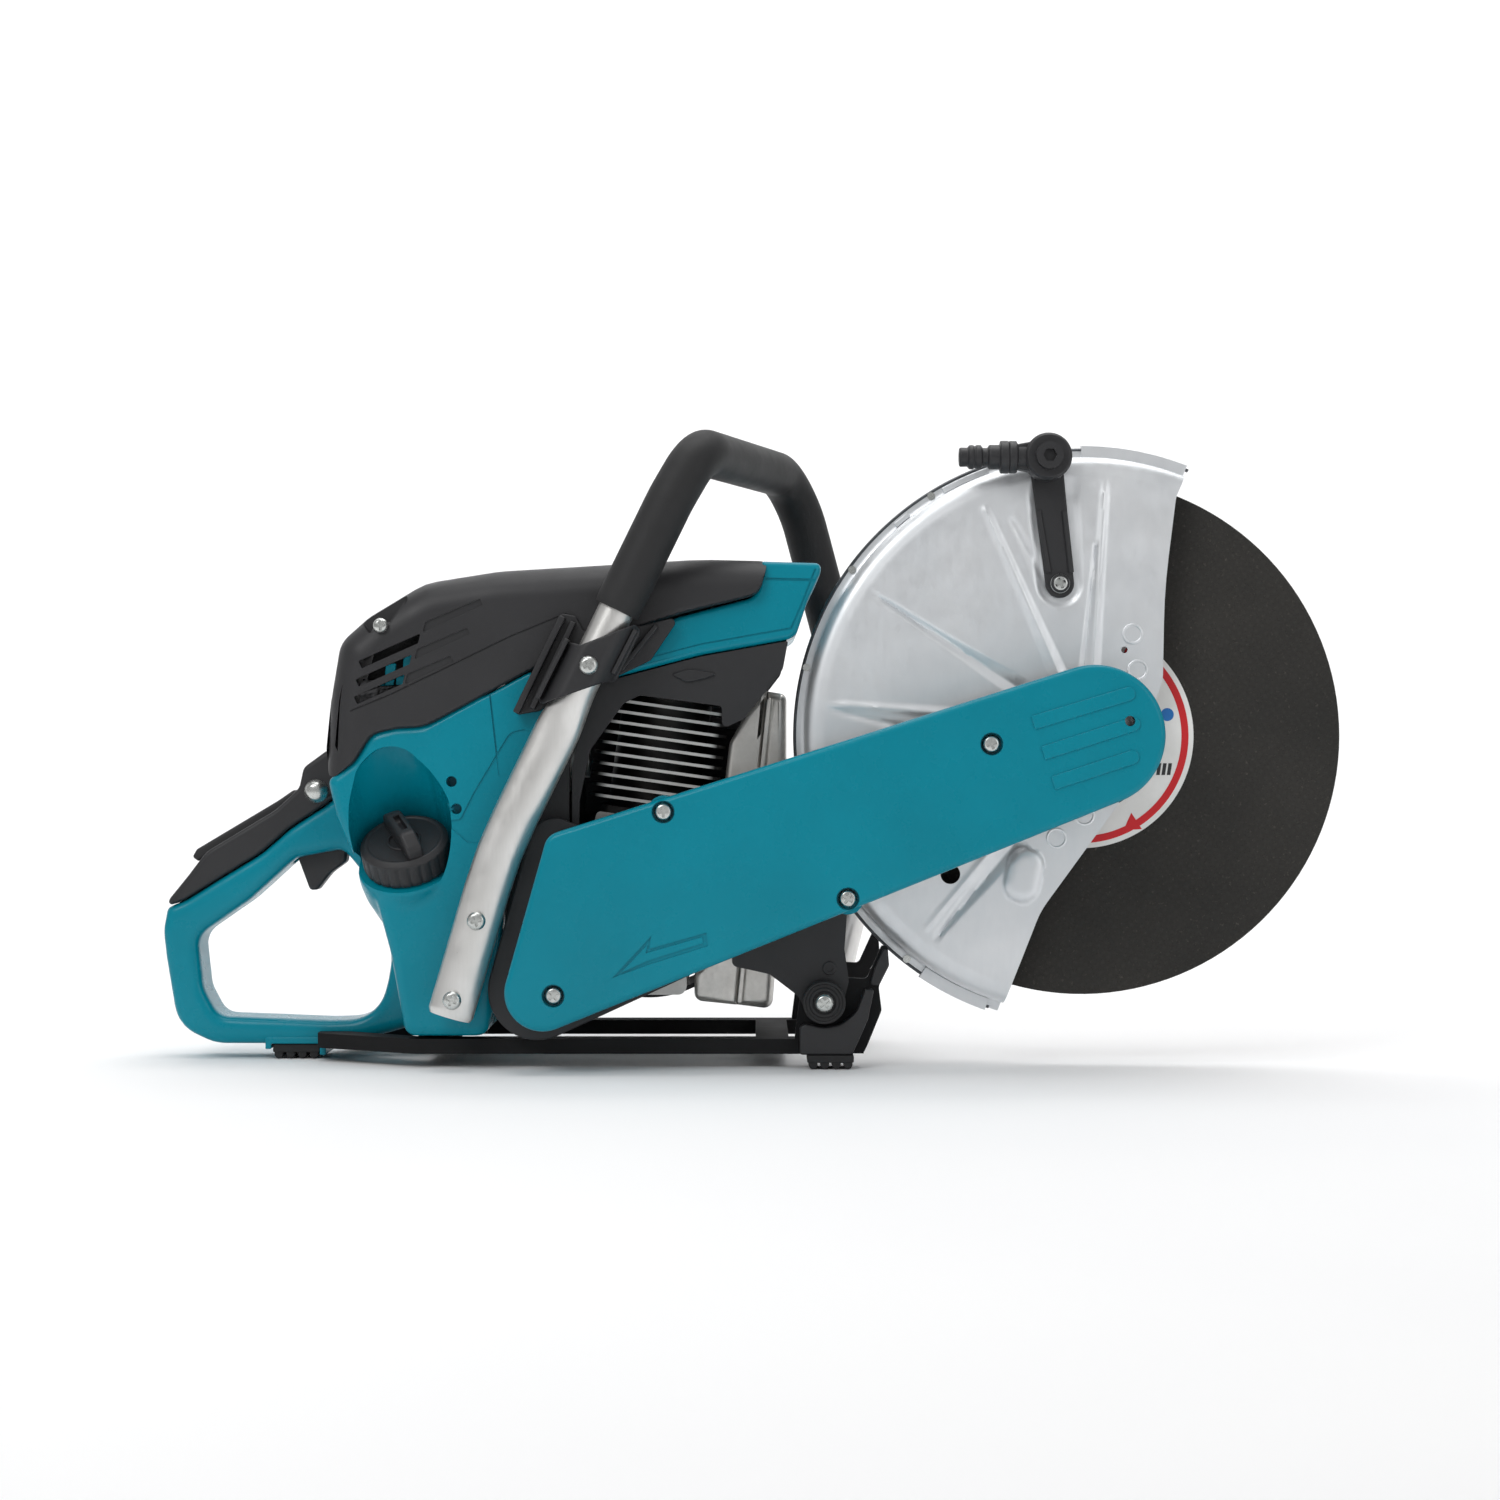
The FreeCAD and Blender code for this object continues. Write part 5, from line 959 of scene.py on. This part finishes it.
# ---------------------------------------------------------------- wheel label
def label():
    x, z = SPINDLE
    discs = []
    for face, side in ((-47.35, 1), (-42.65, -1)):
        low, high = sorted((face, face + side * 0.32))
        discs.append(plate("label_disc", circle(x, z, 76, 180), low, high, 0.05,
                           holes=(circle(x, z, 52, 120),), steps=1))
    put(joined("wheel_label", *discs), "wheel_shaft", "abrasive", finish=paper())
    marks = {"red": [], "blue": [], "dark": []}
    for face, side in ((-47.47, -1), (-42.53, 1)):
        low, high = sorted((face, face - side * 0.2))
        marks["red"].append(plate("ring", circle(x, z, 72.6, 180), low, high, 0.02,
                                  holes=(circle(x, z, 67.8, 180),), steps=1))
        for start in (54, 174, 294):
            a, b, c = (math.radians(start + d) for d in (0, 9, 9))
            tip = (x + 70 * math.cos(a), z + 70 * math.sin(a))
            outer = (x + 75.2 * math.cos(b), z + 75.2 * math.sin(b))
            inner = (x + 62 * math.cos(c), z + 62 * math.sin(c))
            marks["red"].append(plate("arrow", [tip, outer, inner], low - 0.05, high + 0.02, 0.02, steps=1))
        for degrees, kind in ((14, "blue"), (134, "blue"), (254, "blue"),
                              (-22, "dark"), (98, "dark"), (218, "dark")):
            a = math.radians(degrees)
            cx, cz = x + 60 * math.cos(a), z + 60 * math.sin(a)
            if kind == "blue":
                marks["blue"].append(plate("dot", circle(cx, cz, 4.4, 32), low, high, 0.02, steps=1))
            else:
                for k in range(3):
                    marks["dark"].append(plate("bar", [
                        (cx - 5 + 3.6 * k, cz - 4), (cx - 2.6 + 3.6 * k, cz - 4),
                        (cx - 1.4 + 3.6 * k, cz + 4), (cx - 3.8 + 3.6 * k, cz + 4)],
                        low, high, 0.02, steps=1))
    inks = {"red": linear(214, 18, 30), "blue": linear(24, 120, 200), "dark": linear(40, 40, 42)}
    for key, parts in marks.items():
        darker = tuple(0.85 * c for c in inks[key][:3]) + (1.0,)
        ink = moulded(f"ink_{key}", inks[key], darker, 0.45, 900, 0.00003)
        put(joined(f"label_marks_{key}", *parts), "wheel_shaft", "abrasive", finish=ink)


# ---------------------------------------------------------------- silencer
def muffler():
    (low_x, low_z), (high_x, high_z) = (-9, 38), (12, 252)
    near, far = -36, 40
    rear = plate("muffler_rear_skin", rounded((
        (low_x, low_z), (high_x, high_z), (9, 253, 3), (-3.4, 236, 8), (-14, 217, 8), (-16.5, 196, 8),
        (-21, 150, 10), (-23, 74, 8), (-38, 60, 6), (-38, 41, 6))), near, far, 4, steps=4)
    put(rear, "machine", "muffler_steel", "muffler_rear_shell")
    front = plate("muffler_front_skin", rounded((
        (low_x + 0.05, low_z), (15, 35, 6), (17, 58, 10), (25, 110, 20), (25, 250, 5),
        (high_x + 0.05, high_z))), near, far, 6, steps=5)
    seam = plate("muffler_seam", hull((low_x + 2, low_z + 3, 1.6), (high_x + 1, high_z - 6, 1.6)),
                 near - 2.6, far + 1, 0.7)
    boss = lathe("muffler_boss", ((0, 0), (9, 0, 1), (9, 9), (0, 9)), (8, near - 3, 84), ALONG_Y, 40)
    put(joined("muffler_front_body", front, seam, boss), "machine", "muffler_steel", "muffler_front_shell")


# ---------------------------------------------------------------- screws, mounts and feet
FRONT_MOUNT = (49.2, 44.6)


def screw_head(x, y, z, turn, radius=6.2, rise=4.0):
    """A pan head seen along +Y, its underside at y, with a cross-shaped recess."""
    head = lathe("screw_head", (
        (0, 0), (radius - 0.3, 0, 0.3), (radius, rise * 0.35, 0.8), (radius * 0.78, rise * 0.9, 2.4),
        (0, rise)), (0, 0, 0), (0, 0, 1), 40)
    upright = Matrix.Rotation(-math.pi / 2, 4, "X")
    for quarter in (0, 90):
        cut = cutter("recess", rounded((
            (-3.6, -1.0, 0.6), (3.6, -1.0, 0.6), (3.6, 1.0, 0.6), (-3.6, 1.0, 0.6))), -rise - 1, -rise * 0.42)
        cut.data.transform(Matrix.Rotation(math.radians(quarter), 4, "Z") @ upright)
        carve(head, cut)
    head.data.transform(facing((x, y, z), (0, -1, 0)) @ Matrix.Rotation(math.radians(turn), 4, "Z"))
    return head


def fasteners():
    heads = [screw_head(x, -120, z, 20 + 37 * i) for i, (x, z) in enumerate(SCREWS)]
    for place in ((-179.4, -109.2, 99.9, 12), (-195.3, -109.2, 47.8, 65), (-105.5, -114.9, 267.4, 30),
                  (-245.7, -82.05, 294.8, 5, 5.0), (FRONT_MOUNT[0], -92, FRONT_MOUNT[1], 40)):
        heads.append(screw_head(*place))
    heads.append(lathe("pivot_dome", ((0, 0), (8.2, 0, 0.4), (8.2, 2.4, 3), (5.4, 7.6, 4), (0, 8.6)),
                       (-297.7, -21.6, 183.8), (0, -1, 0), 48))
    put(joined("screw_heads", *heads), "machine", "zinc_screw", "housing_screws", angle=30)


def mounts_and_feet():
    spools = []
    for x, z, face, way, depth in ((*FRONT_MOUNT, -92, 1, 14), (62, 46, 94.8, -1, 22.6)):
        spools.append(lathe("spool", (
            (3.1, 0.8), (7.2, 0.8, 0.6), (7.8, 0, 0.4), (9.6, 0, 0.6), (10.2, 1.2, 0.4), (12.0, 1.2, 0.4),
            (12.6, 0.2, 0.5), (14.2, 0.6, 1.0), (14.3, 3, 0.6), (12.6, 3.6, 0.8), (12.6, depth - 3.6, 0.8),
            (14.3, depth - 3, 0.6), (14.3, depth, 0.8), (3.1, depth)), (x, face, z), (0, way, 0), 64))
    put(joined("mount_spools", *spools), "machine", "black_rubber", "vibration_mounts")

    ring = lathe("bracket_ring", ((2.6, 0), (4.6, 0), (4.6, 0.7, 0.3), (4.0, 1.1, 0.4), (2.6, 1.1, 0.3)),
                 (53, -77.7, 66.5), (0, -1, 0), 40)
    shoe = plate("foot_shoe", rounded((
        (33, 9.4, 2), (68, 9.4, 4), (78.5, 33, 6), (82.5, 53, 1.5), (76.5, 53, 1.5), (70.5, 37, 14),
        (60, 29.5, 12), (49, 27.6, 14), (37, 30, 3), (33, 28, 3))), -85.6, -74.4, 1.4)
    lip = plate("prong_lip", rounded((
        (80, 55, 2), (86, 54.5, 3), (92.4, 68.5, 3), (91.2, 79, 1), (88.8, 79, 1), (83, 66, 6))),
        -76.4, -74.1, 0.8)
    put(joined("bracket_parts", ring, shoe, lip), "machine", "black_plastic")
    clip = plate("foot_clip", rounded((
        (-333, 6.5, 0.8), (-329, 6.5, 0.8), (-329, 10.2, 1), (-295.6, 10.2, 1), (-295.6, 2.4, 0.8),
        (-291.4, 2.4, 0.8), (-291.4, 14.8, 2), (-333, 14.8, 2))), -21.8, 21.8, 0.8)
    put(clip, "machine", "teal_plastic")

    feet = []
    for x0, x1, y0, y1, top in ((-328, -296, -20, 20, 9.9), (38, 69, -86, -58, 9.1), (38, 69, 58, 86, 9.1)):
        sole = rounded(((x0, 4.2, 1), (x1, 4.2, 1), (x1, top, 0.6), (x0, top, 0.6)))
        feet.append(plate("foot_sole", sole, y0, y1, 0.6))
        for k in range(4):
            x = x0 + 3.9 + (x1 - x0 - 7.8) * k / 3
            feet.append(plate("foot_stud", hull((x, 3.0, 3.0), (x, 5.4, 3.0)), y0 + 0.6, y1 - 0.6, 0.8))
    put(joined("foot_treads", *feet), "machine", "black_rubber", "rubber_feet")


# ---------------------------------------------------------------- build
OWN_LOOKS = {
    "cylinder": finned_alloy_painted_light(),
    "base_frame": moulded("frame_black", linear(34, 34, 35), linear(28, 28, 29), 0.72, 1100, 0.0003,
                          Specular_IOR_Level=0.14),
}
record = frame["record"]
BODY_OF = {node: body for body, nodes in record["behaviour"]["bodies"].items() for node in nodes}
SLOT_OF = {entry["node"]: entry["material_slot"] for entry in record["subparts"]}

tank()
fuel_cap()
rear_handle()
cover_pieces()
hood()
belt_cover()
backing_plates()
guard_near()
guard_pressings()
front_handle()
saddle()
water_kit()
label()
muffler()
fasteners()
mounts_and_feet()

for node, obj in frame["nodes"].items():
    finish = OWN_LOOKS.get(node, LOOKS[SLOT_OF[node]])
    if obj.data.materials:
        for index in range(len(obj.data.materials)):
            obj.data.materials[index] = finish
    else:
        obj.data.materials.append(finish)

# ---------------------------------------------------------------- studio
def studio():
    n = Nodes("backdrop_paint")
    white = n.mix(n.spread(n.noise(1.5, 2), 0.3, 0.7), linear(250, 250, 250), linear(246, 246, 247))
    paint = n.done(white, n.spread(n.noise(3, 2), 0.3, 0.7, 0.85, 0.95))
    profile = [(-3.2, 0.0), (1.1, 0.0)]
    for k in range(1, 13):
        angle = math.pi / 2 * k / 12
        profile.append((1.1 + 0.8 * math.sin(angle), 0.8 - 0.8 * math.cos(angle)))
    profile.append((1.9, 4.0))
    bm = bmesh.new()
    columns = [[bm.verts.new((x, y, z - 0.0004)) for y, z in profile] for x in np.linspace(-4, 4, 9)]
    for left, right in zip(columns, columns[1:]):
        for k in range(len(profile) - 1):
            bm.faces.new((left[k], right[k], right[k + 1], left[k + 1]))
    floor = built("studio_floor", bm)
    floor.data.shade_smooth()
    floor.data.materials.append(paint)

    def lamp(name, at, aim, size, power, tint=(1, 1, 1)):
        data = bpy.data.lights.new(name, "AREA")
        data.shape = "RECTANGLE"
        data.size, data.size_y = size
        data.energy = power
        data.color = tint
        obj = bpy.data.objects.new(name, data)
        obj.location = at
        obj.rotation_euler = (Vector(aim) - Vector(at)).to_track_quat("-Z", "Y").to_euler()
        bpy.context.scene.collection.objects.link(obj)

    lamp("key_light", (-1.1, -1.7, 1.7), (0, 0, 0.2), (1.2, 0.9), 17)
    lamp("fill_light", (1.6, -1.5, 0.8), (0, 0, 0.2), (1.0, 1.2), 5)
    lamp("top_light", (0.1, -0.1, 2.1), (0, 0, 0.2), (1.8, 1.0), 16)
    lamp("back_light", (0, 0.9, 2.2), (0, 1.9, 0.9), (3.0, 0.8), 26)
    world = bpy.data.worlds.new("studio_air")
    world.use_nodes = True
    world.node_tree.nodes["Background"].inputs["Color"].default_value = (1, 1, 1, 1)
    world.node_tree.nodes["Background"].inputs["Strength"].default_value = 0.4
    bpy.context.scene.world = world
    bpy.context.scene.view_settings.view_transform = "Standard"

    camera = bpy.data.cameras.new("studio_camera")
    camera.lens = 67.2
    camera.sensor_width = 36
    eye = bpy.data.objects.new("studio_camera", camera)
    eye.location = (0, -1.945, 0.212)
    eye.rotation_euler = (math.pi / 2, 0, 0)
    bpy.context.scene.collection.objects.link(eye)
    bpy.context.scene.camera = eye


studio()
